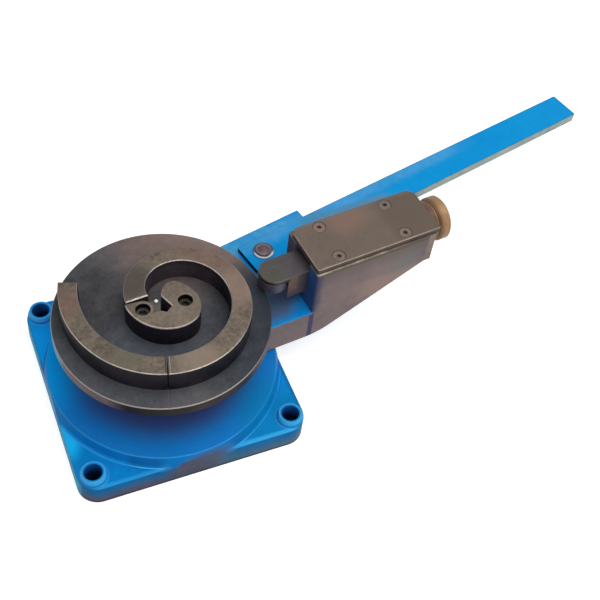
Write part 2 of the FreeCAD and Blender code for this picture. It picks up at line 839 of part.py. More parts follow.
def handle_bar():
    low = handle_top - handle_thickness
    return on_pivot(flat_bar(tongue_end + weld_gap, handle_reach, low, handle_reach))


def handle_tongue():
    body = flat_bar(-handle_heel, tongue_end, handle_underside, -handle_heel)
    return on_pivot(body.cut(cylinder(pivot_radius + running_fit, handle_underside - 1, handle_top + 1)))


def pivot_head_underside():
    return handle_top + face_gap + pivot_washer_thickness + face_gap


def pivot_pin():
    head_low = pivot_head_underside()
    crown_low = head_low + pivot_head_height - pivot_head_crown
    crown_radius = (pivot_head_radius ** 2 + pivot_head_crown ** 2) / (2 * pivot_head_crown)
    centre = V(pivot_spot.x, pivot_spot.y, crown_low + pivot_head_crown - crown_radius)
    rim = cylinder(pivot_head_radius, head_low, head_low + pivot_head_height, pivot_spot)
    head = rim.common(Part.makeSphere(crown_radius, centre))
    tail = arm_floor - shelf_thickness - circlip_thickness - pivot_tail
    body = cylinder(pivot_radius, tail, head_low, pivot_spot).fuse(head)
    groove_top = arm_floor - shelf_thickness - face_gap
    groove = tube(pivot_radius + 1, pivot_radius - 1, groove_top - circlip_thickness, groove_top, pivot_spot)
    return body.cut(groove)


def pivot_washer():
    low = handle_top + face_gap
    top = low + pivot_washer_thickness
    return tube(pivot_washer_radius, pivot_radius + bolt_clearance, low, top, pivot_spot)


def pivot_circlip():
    top = arm_floor - shelf_thickness - face_gap
    ring = tube(circlip_radius, pivot_radius - 1 + running_fit, top - circlip_thickness, top, pivot_spot)
    half = pivot_radius / 2
    mouth = block(0, circlip_radius + 1, -half, half, top - circlip_thickness - 1, top + 1)
    mouth.translate(pivot_spot)
    return ring.cut(mouth)


# ---------------------------------------------------------------- write every piece

os.makedirs("parts", exist_ok=True)

save("base_plate", base_plate())
save("spindle", spindle())
save("spindle_washer", spindle_washer())
save("spindle_nut", spindle_nut())
save("spindle_dowel", spindle_dowel(spindle_dowel_radius))
save("lower_thrust_washer", lower_thrust_washer())
save("upper_thrust_washer", upper_thrust_washer())
save("former_disc", former_disc())
save("scroll_core", scroll_core())
save("core_screws", *core_screws())
save("gauge_pin", gauge_pin())
inner_ridge = ridge_segment(*inner_range(), inner_face_start_turn)
save("inner_segment", with_dowel_bores(inner_ridge, inner_dowel_spots()))
save("outer_segment", with_dowel_bores(ridge_segment(*outer_range()), outer_dowel_spots()))
save("inner_segment_dowels", *segment_dowels(inner_dowel_spots()))
save("outer_segment_dowels", *segment_dowels(outer_dowel_spots()))
save("arm_casting", on_arm(arm_casting()))
save("arm_bush", on_arm(arm_bush()))
save("cover_plate", on_arm(cover_plate()))
save("cover_screws", *[on_arm(s) for s in cover_screws()])
save("end_plate", on_arm(end_plate()))
save("end_plate_screws", *[on_arm(s) for s in end_plate_screws()])
save("ram_body", on_arm(ram_body()))
save("ram_roller", on_arm(ram_roller()))
save("roller_pin", on_arm(roller_pin()))
save("adjuster_screw", on_arm(adjuster_screw()))
save("thrust_collar", on_arm(thrust_collar()))
save("collar_pin", on_arm(cross_pin(collar_pin_radius, collar_pin_station(), collar_radius)))
save("adjuster_knob", on_arm(adjuster_knob()))
save("knob_pin", on_arm(cross_pin(knob_pin_radius, knob_pin_station(), knob_radius)))
save("handle_bar", on_arm(handle_bar()))
save("handle_tongue", on_arm(handle_tongue()))
save("pivot_pin", on_arm(pivot_pin()))
save("pivot_washer", on_arm(pivot_washer()))
save("pivot_circlip", on_arm(pivot_circlip()))
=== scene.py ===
import math

import bmesh
import bpy
from mathutils import Matrix, Vector


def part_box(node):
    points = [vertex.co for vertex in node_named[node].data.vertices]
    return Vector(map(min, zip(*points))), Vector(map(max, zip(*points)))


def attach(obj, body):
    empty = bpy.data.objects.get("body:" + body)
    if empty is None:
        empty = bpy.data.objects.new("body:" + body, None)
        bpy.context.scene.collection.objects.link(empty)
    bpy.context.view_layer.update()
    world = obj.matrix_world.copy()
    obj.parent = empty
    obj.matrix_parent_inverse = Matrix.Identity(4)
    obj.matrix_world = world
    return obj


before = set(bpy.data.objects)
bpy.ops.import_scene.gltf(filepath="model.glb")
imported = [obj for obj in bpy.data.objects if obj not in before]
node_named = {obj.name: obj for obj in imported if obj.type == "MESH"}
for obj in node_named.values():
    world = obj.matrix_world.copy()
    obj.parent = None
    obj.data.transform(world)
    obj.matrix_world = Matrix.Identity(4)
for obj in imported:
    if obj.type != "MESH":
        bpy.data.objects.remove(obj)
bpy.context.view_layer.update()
view = bpy.context.scene.view_settings
view.view_transform = "Standard"


# ---------------------------------------------------------------- camera
# A 64 mm lens a little over a metre away, looking down over the front left of the base
# towards the arm, and tilted slightly to the left.

look_at = Vector((0.16687, 0.04901, 0.0))
view_turn = math.radians(-29.124)
view_height = math.radians(51.721)
view_roll = math.radians(8.761)
view_distance = 1.1309

away = Vector((math.sin(view_turn) * math.cos(view_height),
               -math.cos(view_turn) * math.cos(view_height),
               math.sin(view_height)))
level = (-away).cross(Vector((0, 0, 1))).normalized()
upright = level.cross(-away)
side_axis = level * math.cos(view_roll) + upright * math.sin(view_roll)
top_axis = upright * math.cos(view_roll) - level * math.sin(view_roll)
camera = bpy.data.objects.new("camera", bpy.data.cameras.new("camera"))
camera.data.sensor_width = 36.0
camera.data.lens = 64.04
camera.data.clip_end = 20.0
facing = Matrix((side_axis, top_axis, away)).transposed()
camera.matrix_world = Matrix.LocRotScale(look_at + away * view_distance, facing.to_quaternion(), None)
bpy.context.scene.collection.objects.link(camera)
bpy.context.scene.camera = camera


# ---------------------------------------------------------------- light, surroundings and floor
# A white studio sweep under a large soft box, with a second soft box low at the front.
# Polished metal and the lens see plain white, and the floor keeps a faint shadow.


def soft_box(name, place, aim, size, power, colour=(1.0, 1.0, 1.0)):
    lamp = bpy.data.lights.new(name, "AREA")
    lamp.shape = "RECTANGLE"
    lamp.size, lamp.size_y = size
    lamp.energy = power
    lamp.color = colour
    holder = bpy.data.objects.new(name, lamp)
    spot = Vector(place)
    direction = (Vector(aim) - spot).to_track_quat("-Z", "Y")
    holder.matrix_world = Matrix.LocRotScale(spot, direction, None)
    bpy.context.scene.collection.objects.link(holder)


def add(tree, kind, **settings):
    node = tree.nodes.new(kind)
    for key, value in settings.items():
        setattr(node, key, value)
    return node


def feed(tree, socket, value):
    if isinstance(value, bpy.types.NodeSocket):
        tree.links.new(value, socket)
    else:
        socket.default_value = value


def feed_all(tree, sockets, values):
    for socket, value in zip(sockets, values):
        feed(tree, socket, value)


def math_of(tree, operation, *values, clamp=False):
    node = add(tree, "ShaderNodeMath", operation=operation, use_clamp=clamp)
    feed_all(tree, node.inputs, values)
    return node.outputs[0]


def vector_of(tree, operation, *values):
    node = add(tree, "ShaderNodeVectorMath", operation=operation)
    feed_all(tree, node.inputs, values)
    return node.outputs["Value" if operation in ("DOT_PRODUCT", "LENGTH") else "Vector"]


def any_of(tree, *values):
    joined = values[0]
    for value in values[1:]:
        joined = math_of(tree, "MAXIMUM", joined, value)
    return joined


MIX_SOCKETS = {"FLOAT": (2, 0), "VECTOR": (4, 1), "RGBA": (6, 2)}


def mix_of(tree, kind, share, first, second, **settings):
    node = add(tree, "ShaderNodeMix", data_type=kind, **settings)
    start, result = MIX_SOCKETS[kind]
    feed_all(tree, (node.inputs[0], node.inputs[start], node.inputs[start + 1]), (share, first, second))
    return node.outputs[result]


soft_box("overhead_box", (0.35, -0.25, 1.5), (0.1, 0.0, 0.05), (1.5, 1.2), 14.8)
soft_box("front_box", (0.5, -1.3, 0.55), (0.12, 0.0, 0.08), (1.0, 0.7), 4.4, (1.0, 0.95, 0.91))

world = bpy.data.worlds.new("white_sweep")
bpy.context.scene.world = world
world.use_nodes = True
tree = world.node_tree
tree.nodes.clear()
seen = add(tree, "ShaderNodeBackground")
seen.inputs["Color"].default_value = (1.0, 1.0, 1.0, 1.0)
ambient = add(tree, "ShaderNodeBackground")
ambient.inputs["Color"].default_value = (0.95, 0.975, 1.0, 1.0)
ambient.inputs["Strength"].default_value = 0.5
paths = add(tree, "ShaderNodeLightPath").outputs
direct = any_of(tree, paths["Is Camera Ray"], paths["Is Glossy Ray"], paths["Is Transmission Ray"])
blend = add(tree, "ShaderNodeMixShader")
feed_all(tree, blend.inputs, (direct, ambient.outputs[0], seen.outputs[0]))
tree.links.new(blend.outputs[0], add(tree, "ShaderNodeOutputWorld").inputs["Surface"])

UNDER_BASE = 0.104
FLOOR_LEVEL = -0.0004
bpy.ops.mesh.primitive_plane_add(size=8.0, location=(0.0, 0.0, FLOOR_LEVEL))
floor = bpy.context.object
floor.name = "floor"
floor_paint = bpy.data.materials.new("floor_white")
floor_paint.use_nodes = True
tree = floor_paint.node_tree
tree.nodes.clear()
# Inside the base's footprint the floor is painted near black and does not glow: painted shade under the
# base, seen through the bolt holes.
split = add(tree, "ShaderNodeSeparateXYZ")
feed(tree, split.inputs[0], vector_of(tree, "ABSOLUTE", add(tree, "ShaderNodeTexCoord").outputs["Object"]))
outside = math_of(tree, "GREATER_THAN", any_of(tree, split.outputs[0], split.outputs[1]), UNDER_BASE)
matt = add(tree, "ShaderNodeBsdfDiffuse")
grey = mix_of(tree, "RGBA", outside, (0.02, 0.02, 0.02, 1.0), (0.62, 0.62, 0.62, 1.0))
feed(tree, matt.inputs["Color"], grey)
glow = add(tree, "ShaderNodeEmission")
feed(tree, glow.inputs["Strength"], math_of(tree, "MULTIPLY", outside, 0.7))
lit = add(tree, "ShaderNodeAddShader")
feed_all(tree, lit.inputs, (matt.outputs[0], glow.outputs[0]))
paths = add(tree, "ShaderNodeLightPath").outputs
plain = add(tree, "ShaderNodeMixShader")
direct = any_of(tree, paths["Is Camera Ray"], paths["Is Glossy Ray"])
feed_all(tree, plain.inputs, (direct, matt.outputs[0], lit.outputs[0]))
tree.links.new(plain.outputs[0], add(tree, "ShaderNodeOutputMaterial").inputs["Surface"])
floor.data.materials.append(floor_paint)


# ---------------------------------------------------------------- base casting
# A square iron casting under one thick coat of azure machine paint. The paint carries painted highlights at
# its rounded corners and edges, a painted shadow of the disc on the platform, painted shade on its sides,
# creases and holes, and a mauve grey painted reflection low on its sides.

FLOAT = "NodeSocketFloat"
VECTOR = "NodeSocketVector"
COLOUR = "NodeSocketColor"
UP = (0.0, 0.0, 1.0)
ALONG_X = (1.0, 0.0, 0.0)
ALONG_Y = (0.0, 1.0, 0.0)
ROUND_Z = (1.0, 1.0, 0.0)
MIDDLE = (0.0, 0.0, 0.0)


def new_group(name, inputs, outputs):
    group = bpy.data.node_groups.new(name, "ShaderNodeTree")
    for label, kind, value in inputs:
        socket = group.interface.new_socket(label, in_out="INPUT", socket_type=kind)
        socket.default_value = value
    for label, kind in outputs:
        group.interface.new_socket(label, in_out="OUTPUT", socket_type=kind)
    return group, add(group, "NodeGroupInput").outputs, add(group, "NodeGroupOutput").inputs


def object_place(tree):
    return add(tree, "ShaderNodeTexCoord").outputs["Object"]


def noise_of(tree, size, **settings):
    node = add(tree, "ShaderNodeTexNoise")
    feed(tree, node.inputs["Vector"], object_place(tree))
    feed(tree, node.inputs["Scale"], size)
    for label, value in settings.items():
        feed(tree, node.inputs[label], value)
    return node.outputs["Fac"]


def fade_of(tree, value, low, high, start=0.0, end=1.0, kind="SMOOTHSTEP"):
    node = add(tree, "ShaderNodeMapRange", interpolation_type=kind)
    labels = ("Value", "From Min", "From Max", "To Min", "To Max")
    feed_all(tree, [node.inputs[label] for label in labels], (value, low, high, start, end))
    return node.outputs["Result"]


# Five shader groups that the finishes share: rounded edges, for rubbed wear on bare metal and for
# painted highlights on paint, faces that look one way, the surroundings of a place, those of a
# plane, and a cloudy colour. Wobble shakes a mask's border.
def shaken_mask(group, given, far, middle, shake_size):
    shake = math_of(group, "SUBTRACT", noise_of(group, shake_size, Detail=3.0), 0.5)
    far = math_of(group, "MULTIPLY_ADD", shake, given["Wobble"], far)
    far = math_of(group, "ABSOLUTE", math_of(group, "SUBTRACT", far, middle))
    outer = math_of(group, "ADD", given["Half Width"], given["Softness"])
    return fade_of(group, far, given["Half Width"], outer, 1.0, 0.0)


def edge_group():
    group, given, out = new_group(
        "edges_for_wear_and_highlight",
        [("Radius", FLOAT, 0.001), ("Width", FLOAT, 6.0), ("Patchiness", FLOAT, 0.5),
         ("Patch Size", FLOAT, 55.0)],
        [("Edge", FLOAT), ("Normal", VECTOR)])
    rounded = add(group, "ShaderNodeBevel", samples=6)
    feed(group, rounded.inputs["Radius"], given["Radius"])
    flat = add(group, "ShaderNodeNewGeometry").outputs["Normal"]
    bend = math_of(group, "SUBTRACT", 1.0, vector_of(group, "DOT_PRODUCT", rounded.outputs["Normal"], flat))
    bend = math_of(group, "MULTIPLY", bend, given["Width"], clamp=True)
    keep = math_of(group, "SUBTRACT", 1.0, given["Patchiness"])
    patches = noise_of(group, given["Patch Size"], Detail=4.0)
    patches = fade_of(group, patches, 0.38, 0.6, start=keep, kind="LINEAR")
    feed(group, out["Edge"], math_of(group, "MULTIPLY", patches, bend))
    feed(group, out["Normal"], rounded.outputs["Normal"])
    return group


def facing_group():
    group, given, out = new_group(
        "facing_one_way",
        [("Direction", VECTOR, UP), ("From", FLOAT, 0.5), ("To", FLOAT, 0.9)],
        [("Mask", FLOAT)])
    normal = add(group, "ShaderNodeTexCoord").outputs["Normal"]
    agree = vector_of(group, "DOT_PRODUCT", normal, given["Direction"])
    feed(group, out["Mask"], fade_of(group, agree, given["From"], given["To"]))
    return group


def near_group():
    group, given, out = new_group(
        "near_a_place",
        [("Centre", VECTOR, MIDDLE), ("Stretch", VECTOR, (1, 1, 1)), ("Middle", FLOAT, 0.0),
         ("Half Width", FLOAT, 0.01), ("Softness", FLOAT, 0.01), ("Wobble", FLOAT, 0.0),
         ("Mirrored", FLOAT, 0.0)],
        [("Mask", FLOAT)])
    place = object_place(group)
    place = mix_of(group, "VECTOR", given["Mirrored"], place, vector_of(group, "ABSOLUTE", place))
    offset = vector_of(group, "SUBTRACT", place, given["Centre"])
    far = vector_of(group, "LENGTH", vector_of(group, "MULTIPLY", offset, given["Stretch"]))
    feed(group, out["Mask"], shaken_mask(group, given, far, given["Middle"], 45.0))
    return group


def plane_group():
    group, given, out = new_group(
        "near_a_plane",
        [("Point", VECTOR, MIDDLE), ("Direction", VECTOR, UP), ("Half Width", FLOAT, 0.01),
         ("Softness", FLOAT, 0.01), ("Wobble", FLOAT, 0.0)],
        [("Mask", FLOAT)])
    offset = vector_of(group, "SUBTRACT", object_place(group), given["Point"])
    far = vector_of(group, "DOT_PRODUCT", offset, given["Direction"])
    feed(group, out["Mask"], shaken_mask(group, given, far, 0.0, 60.0))
    return group


def cloud_group():
    group, given, out = new_group(
        "cloudy_colour",
        [("Light", COLOUR, (1, 1, 1, 1)), ("Dark", COLOUR, (0, 0, 0, 1)), ("Size", FLOAT, 20.0),
         ("Fine Size", FLOAT, 160.0), ("Fine Share", FLOAT, 0.3), ("Contrast", FLOAT, 2.0)],
        [("Color", COLOUR), ("Fac", FLOAT)])
    broad = noise_of(group, given["Size"], Detail=3.0, Distortion=0.4)
    fine = noise_of(group, given["Fine Size"], Detail=5.0, Roughness=0.6)
    mixed = mix_of(group, "FLOAT", given["Fine Share"], broad, fine)
    spread = math_of(group, "MULTIPLY", math_of(group, "SUBTRACT", mixed, 0.5), given["Contrast"])
    share = math_of(group, "ADD", spread, 0.5, clamp=True)
    feed(group, out["Color"], mix_of(group, "RGBA", share, given["Dark"], given["Light"]))
    feed(group, out["Fac"], share)
    return group


edges_for_wear_and_highlight = edge_group()
facing_one_way = facing_group()
near_a_place = near_group()
near_a_plane = plane_group()
cloudy_colour = cloud_group()


def rgb(red, green, blue):
    return (red, green, blue, 1.0)


def use(tree, group, **values):
    node = add(tree, "ShaderNodeGroup", node_tree=group)
    for label, value in values.items():
        node.inputs[label.replace("_", " ")].default_value = value
    return node.outputs


def cloud(tree, light, dark, size=18.0, fine=140.0, share=0.35, contrast=2.2):
    return use(tree, cloudy_colour, Light=light, Dark=dark, Size=size, Fine_Size=fine, Fine_Share=share,
               Contrast=contrast)["Color"]


def edge_masks(tree, radius, width, patchiness, size=55.0):
    return use(tree, edges_for_wear_and_highlight, Radius=radius, Width=width, Patchiness=patchiness, Patch_Size=size)


# A mask is 1 inside and 0 outside. near goes by the distance from a place or from the ring at
# middle round it, across by that from a plane: both are 1 as far as half and fade over soft.
def towards(tree, way, low=0.6, high=0.95):
    return use(tree, facing_one_way, Direction=way, From=low, To=high)["Mask"]


def near(tree, centre, stretch, half, soft, middle=0.0, wobble=0.0, mirrored=0.0):
    return use(tree, near_a_place, Centre=centre, Stretch=stretch, Middle=middle, Half_Width=half,
               Softness=soft, Wobble=wobble, Mirrored=mirrored)["Mask"]


def spot_at(tree, x, y, half, soft, wobble=0.0):
    return near(tree, (x, y, 0.0), ROUND_Z, half, soft, wobble=wobble)


def ring_at(tree, radius, half, soft):
    return near(tree, MIDDLE, ROUND_Z, half, soft, middle=radius)


def disc_of(tree, radius, soft, wobble=0.0):
    return near(tree, MIDDLE, ROUND_Z, radius, soft, wobble=wobble)


def across(tree, point, way, half, soft, wobble=0.0):
    return use(tree, near_a_plane, Point=point, Direction=way, Half_Width=half, Softness=soft,
               Wobble=wobble)["Mask"]


def at_height(tree, height, half, soft, wobble=0.0):
    return across(tree, (0.0, 0.0, height), UP, half, soft, wobble)


def part_of(tree, mask, share):
    return math_of(tree, "MULTIPLY", mask, share, clamp=True)


def both(tree, *masks):
    joined = masks[0]
    for mask in masks[1:]:
        joined = math_of(tree, "MULTIPLY", joined, mask, clamp=True)
    return joined


def outside_of(tree, mask):
    return math_of(tree, "SUBTRACT", 1.0, mask, clamp=True)


def steep(tree, low, high):
    return outside_of(tree, towards(tree, UP, low, high))


def over(tree, under, mask, colour, share=1.0):
    if share < 1.0:
        mask = part_of(tree, mask, share)
    return mix_of(tree, "RGBA", mask, under, colour)


def new_finish(name, roughness, metallic=0.0, specular=0.5):
    finish = bpy.data.materials.new(name)
    finish.use_nodes = True
    shader = finish.node_tree.nodes["Principled BSDF"]
    shader.inputs["Roughness"].default_value = roughness
    shader.inputs["Metallic"].default_value = metallic
    shader.inputs["Specular IOR Level"].default_value = specular
    return finish, finish.node_tree, shader


def bump_of(tree, height, depth, strength, normal):
    bump = add(tree, "ShaderNodeBump")
    labels = ("Height", "Distance", "Strength", "Normal")
    feed_all(tree, [bump.inputs[label] for label in labels], (height, depth, strength, normal))
    return bump.outputs["Normal"]


def uneven_gloss(tree, smooth, rough, size=30.0):
    skin = use(tree, cloudy_colour, Size=size, Fine_Size=size * 8.0, Fine_Share=0.4, Contrast=2.0)["Fac"]
    return fade_of(tree, skin, 0.0, 1.0, smooth, rough, "LINEAR")


def grainy(tree, size, depth, normal):
    return bump_of(tree, noise_of(tree, size, Detail=4.0), depth, 0.6, normal)


def coat(tree, shader, colour, normal, gloss=None):
    feed(tree, shader.inputs["Base Color"], colour)
    feed(tree, shader.inputs["Normal"], normal)
    if gloss is not None:
        feed(tree, shader.inputs["Roughness"], gloss)


def wear(material, *names):
    for name in names:
        for slot in node_named[name].material_slots:
            slot.material = material


HALF_SIDE = 0.110
PAD_TOP = 0.025
PLATFORM_TOP = 0.0365
PLATFORM_RADIUS = 0.1095
WALL_RADIUS = 0.1112
FOOT_RADIUS = 0.1137
BOLT_HOLE_RADIUS = 0.0085
BOSS_RADIUS = 0.0110
BOSS_FOOT_RADIUS = 0.0135
BOSS_MIDDLE = 0.029
FRONT = (0.0, -HALF_SIDE, 0.0)
BOLT = (0.095, 0.095, 0.0)


def painted_sides(tree, colour, low_down):
    # The upright sides are painted a darker blue as painted shade, the left side a lighter teal as painted
    # light, and the lower sides and a strip at the front middle mauve grey as a painted reflection of the
    # surroundings in the glossy paint.
    upright_side = steep(tree, 0.1, 0.5)
    side_blue = cloud(tree, rgb(0.005, 0.165, 0.40), rgb(0.003, 0.100, 0.28), 20.0, 150.0, 0.4, 2.4)
    colour = over(tree, colour, upright_side, side_blue)
    teal_side = both(tree, towards(tree, (-1, 0, 0), 0.5, 0.85),
                     across(tree, (-HALF_SIDE, 0, 0), ALONG_X, 0.0012, 0.002))
    teal = cloud(tree, rgb(0.018, 0.36, 0.58), rgb(0.008, 0.23, 0.42), 26.0)
    colour = over(tree, colour, teal_side, teal)
    grey_sheen = cloud(tree, rgb(0.105, 0.105, 0.150), rgb(0.050, 0.062, 0.112), 26.0, 110.0, 0.4, 2.6)
    right_half = across(tree, (0.12, 0, 0), ALONG_X, 0.085, 0.03)
    grey_teal_sheen = cloud(tree, rgb(0.080, 0.168, 0.245), rgb(0.040, 0.105, 0.180), 26.0, 110.0, 0.4, 2.6)
    grey_sheen = over(tree, grey_sheen, right_half, grey_teal_sheen)
    colour = over(tree, colour, both(tree, low_down, upright_side, outside_of(tree, teal_side)), grey_sheen)
    middle_cut = both(tree, across(tree, FRONT, ALONG_Y, 0.0006, 0.001),
                      across(tree, MIDDLE, ALONG_X, 0.016, 0.02), at_height(tree, 0.0, 0.022, 0.012))
    return over(tree, colour, middle_cut, grey_sheen)


def painted_foot(tree, colour, foot, wall):
    # The platform's foot and wall are painted darker as painted shade, lighter at the left as painted
    # light; painted highlights run along the foot and brighten it by the pad tips, and painted shade
    # deepens the crease there.
    colour = over(tree, colour, foot, rgb(0.003, 0.165, 0.50))
    foot_left = spot_at(tree, -0.085, -0.075, 0.040, 0.035)
    colour = over(tree, colour, both(tree, foot, foot_left), rgb(0.008, 0.235, 0.60))
    foot_line = both(tree, ring_at(tree, FOOT_RADIUS + 0.0005, 0.0003, 0.0006),
                     at_height(tree, PAD_TOP + 0.0008, 0.0012, 0.001))
    colour = over(tree, colour, foot_line, rgb(0.03, 0.36, 0.80), 0.7)
    tip_lines = both(tree, foot_line, any_of(tree, spot_at(tree, 0.058, -0.098, 0.016, 0.016),
                                             spot_at(tree, -0.044, -0.105, 0.010, 0.014)))
    colour = over(tree, colour, tip_lines, rgb(0.07, 0.45, 0.90), 0.9)
    colour = over(tree, colour, wall, rgb(0.004, 0.185, 0.54))
    by_tips = any_of(tree, spot_at(tree, 0.050, -0.100, 0.012, 0.014),
                     spot_at(tree, -0.048, -0.101, 0.010, 0.012))
    crease = both(tree, by_tips, any_of(tree, wall, foot), outside_of(tree, foot_line))
    return over(tree, colour, crease, rgb(0.003, 0.105, 0.31), 0.6)


def painted_platform(tree, colour, level_top):
    # The platform top carries a painted shadow of the disc, a pool of painted light at the left and a
    # painted highlight along its rim.
    deck = both(tree, level_top, at_height(tree, PLATFORM_TOP, 0.002, 0.001),
                disc_of(tree, PLATFORM_RADIUS + 0.001, 0.0005))
    deck_blue = cloud(tree, rgb(0.012, 0.215, 0.63), rgb(0.008, 0.175, 0.55), 14.0, 110.0, 0.4, 1.8)
    colour = over(tree, colour, deck, deck_blue)
    lit_left = spot_at(tree, -0.112, 0.03, 0.020, 0.055, 0.006)
    colour = over(tree, colour, both(tree, level_top, lit_left), rgb(0.003, 0.36, 0.92))
    disc_shadow = disc_of(tree, 0.066, 0.034, 0.004)
    colour = over(tree, colour, both(tree, deck, disc_shadow), rgb(0.055, 0.085, 0.26))
    deck_rim = both(tree, ring_at(tree, PLATFORM_RADIUS, 0.0004, 0.0005),
                    at_height(tree, PLATFORM_TOP + 0.0001, 0.001, 0.0006))
    return over(tree, colour, deck_rim, rgb(0.035, 0.33, 0.74), 0.6)


def painted_pads(tree, colour):
    # Painted highlights on the pads along their front margins, at their tips, at the left and at the pad
    # ends; the front middle is mauve grey as a painted reflection, and a painted shadow darkens the front
    # bottom edge.
    front_margin = both(tree, across(tree, FRONT, ALONG_Y, 0.0024, 0.0026, 0.0012),
                        across(tree, (0.07, 0, 0), ALONG_X, 0.040, 0.02))
    front_margin_left = both(tree, across(tree, FRONT, ALONG_Y, 0.0020, 0.0026, 0.0012),
                             across(tree, (-0.06, 0, 0), ALONG_X, 0.030, 0.02))
    pad_tips = any_of(tree, part_of(tree, spot_at(tree, 0.036, -0.105, 0.006, 0.010), 0.9),
                      part_of(tree, spot_at(tree, -0.034, -0.107, 0.004, 0.010), 0.6),
                      part_of(tree, front_margin, 0.9), part_of(tree, front_margin_left, 0.4))
    pads_only = both(tree, towards(tree, UP, 0.3, 0.6), at_height(tree, PAD_TOP - 0.0005, 0.0022, 0.0012),
                     outside_of(tree, disc_of(tree, FOOT_RADIUS + 0.0008, 0.0006)))
    colour = over(tree, colour, both(tree, pad_tips, pads_only), rgb(0.034, 0.37, 0.74))
    left_tip = near(tree, (-0.108, -0.045, 0), (2.0, 1.0, 0.0), 0.014, 0.022, wobble=0.008)
    colour = over(tree, colour, both(tree, pads_only, left_tip), rgb(0.012, 0.50, 0.98))
    for x, height, share in ((0.031, 0.0235, 0.40), (-0.032, 0.0245, 0.25)):
        end_of_pad = near(tree, (x, -HALF_SIDE, height), (1, 1, 1.4), 0.0015, 0.007)
        colour = over(tree, colour, end_of_pad, rgb(0.055, 0.33, 0.62), share)
    mauve_middle = near(tree, (0.012, -0.1115, 0.026), (0.42, 1, 1), 0.003, 0.010, wobble=0.003)
    colour = over(tree, colour, mauve_middle, rgb(0.085, 0.100, 0.170), 0.75)
    foot_edge = both(tree, at_height(tree, 0.0, 0.0014, 0.0022), towards(tree, (0, -1, 0), 0.2, 0.5))
    return over(tree, colour, foot_edge, rgb(0.022, 0.016, 0.026), 0.75)


def painted_bosses(tree, colour, edge, low_down):
    # The bolt holes are painted dark inside as painted shade, less dark towards their tops, and the boss
    # rims and rounded edges carry painted highlights.
    hole = near(tree, BOLT, ROUND_Z, BOLT_HOLE_RADIUS + 0.0003, 0.0005, mirrored=1.0)
    bore = both(tree, hole, steep(tree, 0.2, 0.4))
    colour = over(tree, colour, bore, rgb(0.006, 0.03, 0.10))
    upper_bore = both(tree, bore, at_height(tree, BOSS_MIDDLE - 0.0005, 0.004, 0.010))
    colour = over(tree, colour, upper_bore, rgb(0.012, 0.115, 0.40))
    top_rim = near(tree, BOLT, ROUND_Z, 0.0007, 0.0009, middle=BOSS_RADIUS, mirrored=1.0)
    foot_rim = near(tree, BOLT, ROUND_Z, 0.0003, 0.0008, middle=BOSS_FOOT_RADIUS, mirrored=1.0)
    boss_rims = both(tree, any_of(tree, top_rim, foot_rim), at_height(tree, BOSS_MIDDLE, 0.0035, 0.001))
    edge_highlights = any_of(tree, part_of(tree, edge, 0.4), part_of(tree, boss_rims, 0.75))
    return over(tree, colour, both(tree, edge_highlights, outside_of(tree, low_down)), rgb(0.07, 0.44, 0.86))


base_paint, tree, shader = new_finish("base_azure", 0.42, specular=0.03)
rounded_edges = edge_masks(tree, 0.0012, 5.0, 0.6)
level_top = towards(tree, UP, 0.82, 0.97)
low_down = at_height(tree, 0.0, 0.004, 0.015, 0.012)
foot = both(tree, ring_at(tree, FOOT_RADIUS, 0.0018, 0.0008), at_height(tree, PAD_TOP, 0.0026, 0.001))
wall = both(tree, ring_at(tree, WALL_RADIUS, 0.0024, 0.0006), at_height(tree, 0.032, 0.0042, 0.001),
            steep(tree, 0.4, 0.7))
colour = cloud(tree, rgb(0.004, 0.265, 0.68), rgb(0.003, 0.185, 0.52), 16.0, 150.0, 0.45, 2.4)
colour = painted_sides(tree, colour, low_down)
colour = painted_foot(tree, colour, foot, wall)
colour = painted_platform(tree, colour, level_top)
# Painted shade: the top, wall and foot are darker at the front right.
duller_right = spot_at(tree, 0.082, -0.094, 0.020, 0.035, 0.01)
duller_right = both(tree, duller_right, any_of(tree, level_top, wall, foot))
colour = over(tree, colour, duller_right, rgb(0.003, 0.205, 0.46), 0.7)
colour = painted_pads(tree, colour)
colour = painted_bosses(tree, colour, rounded_edges["Edge"], low_down)
right_edge = both(tree, towards(tree, UP, 0.3, 0.6),
                  across(tree, (HALF_SIDE - 0.0022, 0, 0), ALONG_X, 0.0012, 0.0008))
colour = over(tree, colour, right_edge, rgb(0.010, 0.12, 0.28), 0.6)
coat(tree, shader, colour, grainy(tree, 300.0, 0.0006, rounded_edges["Normal"]), uneven_gloss(tree, 0.36, 0.5))
wear(base_paint, "base_plate")


# ---------------------------------------------------------------- spindle, nut and thrust washers
# A ground steel spindle and its dowel, held from below by an oil-blackened hexagon nut and
# washer. Two bronze thrust washers and a bronze bush carry the arm.


def turned_metal(name, light, dark, roughness, metallic=0.9, specular=0.5):
    finish, tree, shader = new_finish(name, roughness, metallic, specular)
    skin = cloud(tree, light, dark, 60.0, 400.0, 0.5, 2.0)
    rounded_edges = edge_masks(tree, 0.0005, 4.0, 0.3)
    gloss = uneven_gloss(tree, roughness - 0.05, roughness + 0.08, 60.0)
    rubbed = over(tree, skin, rounded_edges["Edge"], light)
    coat(tree, shader, rubbed, grainy(tree, 900.0, 0.00006, rounded_edges["Normal"]), gloss)
    return finish


bright_steel = turned_metal("bright_ground", rgb(0.62, 0.60, 0.57), rgb(0.42, 0.40, 0.38), 0.32)
black_nut = turned_metal("nut_blackened", rgb(0.11, 0.09, 0.08), rgb(0.05, 0.04, 0.035), 0.45, 0.5, 0.3)
bush_bronze = turned_metal("bush_bronze", rgb(0.42, 0.27, 0.14), rgb(0.28, 0.165, 0.09), 0.4, 0.7)
wear(bright_steel, "spindle", "spindle_dowel")
wear(black_nut, "spindle_nut", "spindle_washer")
wear(bush_bronze, "lower_thrust_washer", "upper_thrust_washer", "arm_bush")


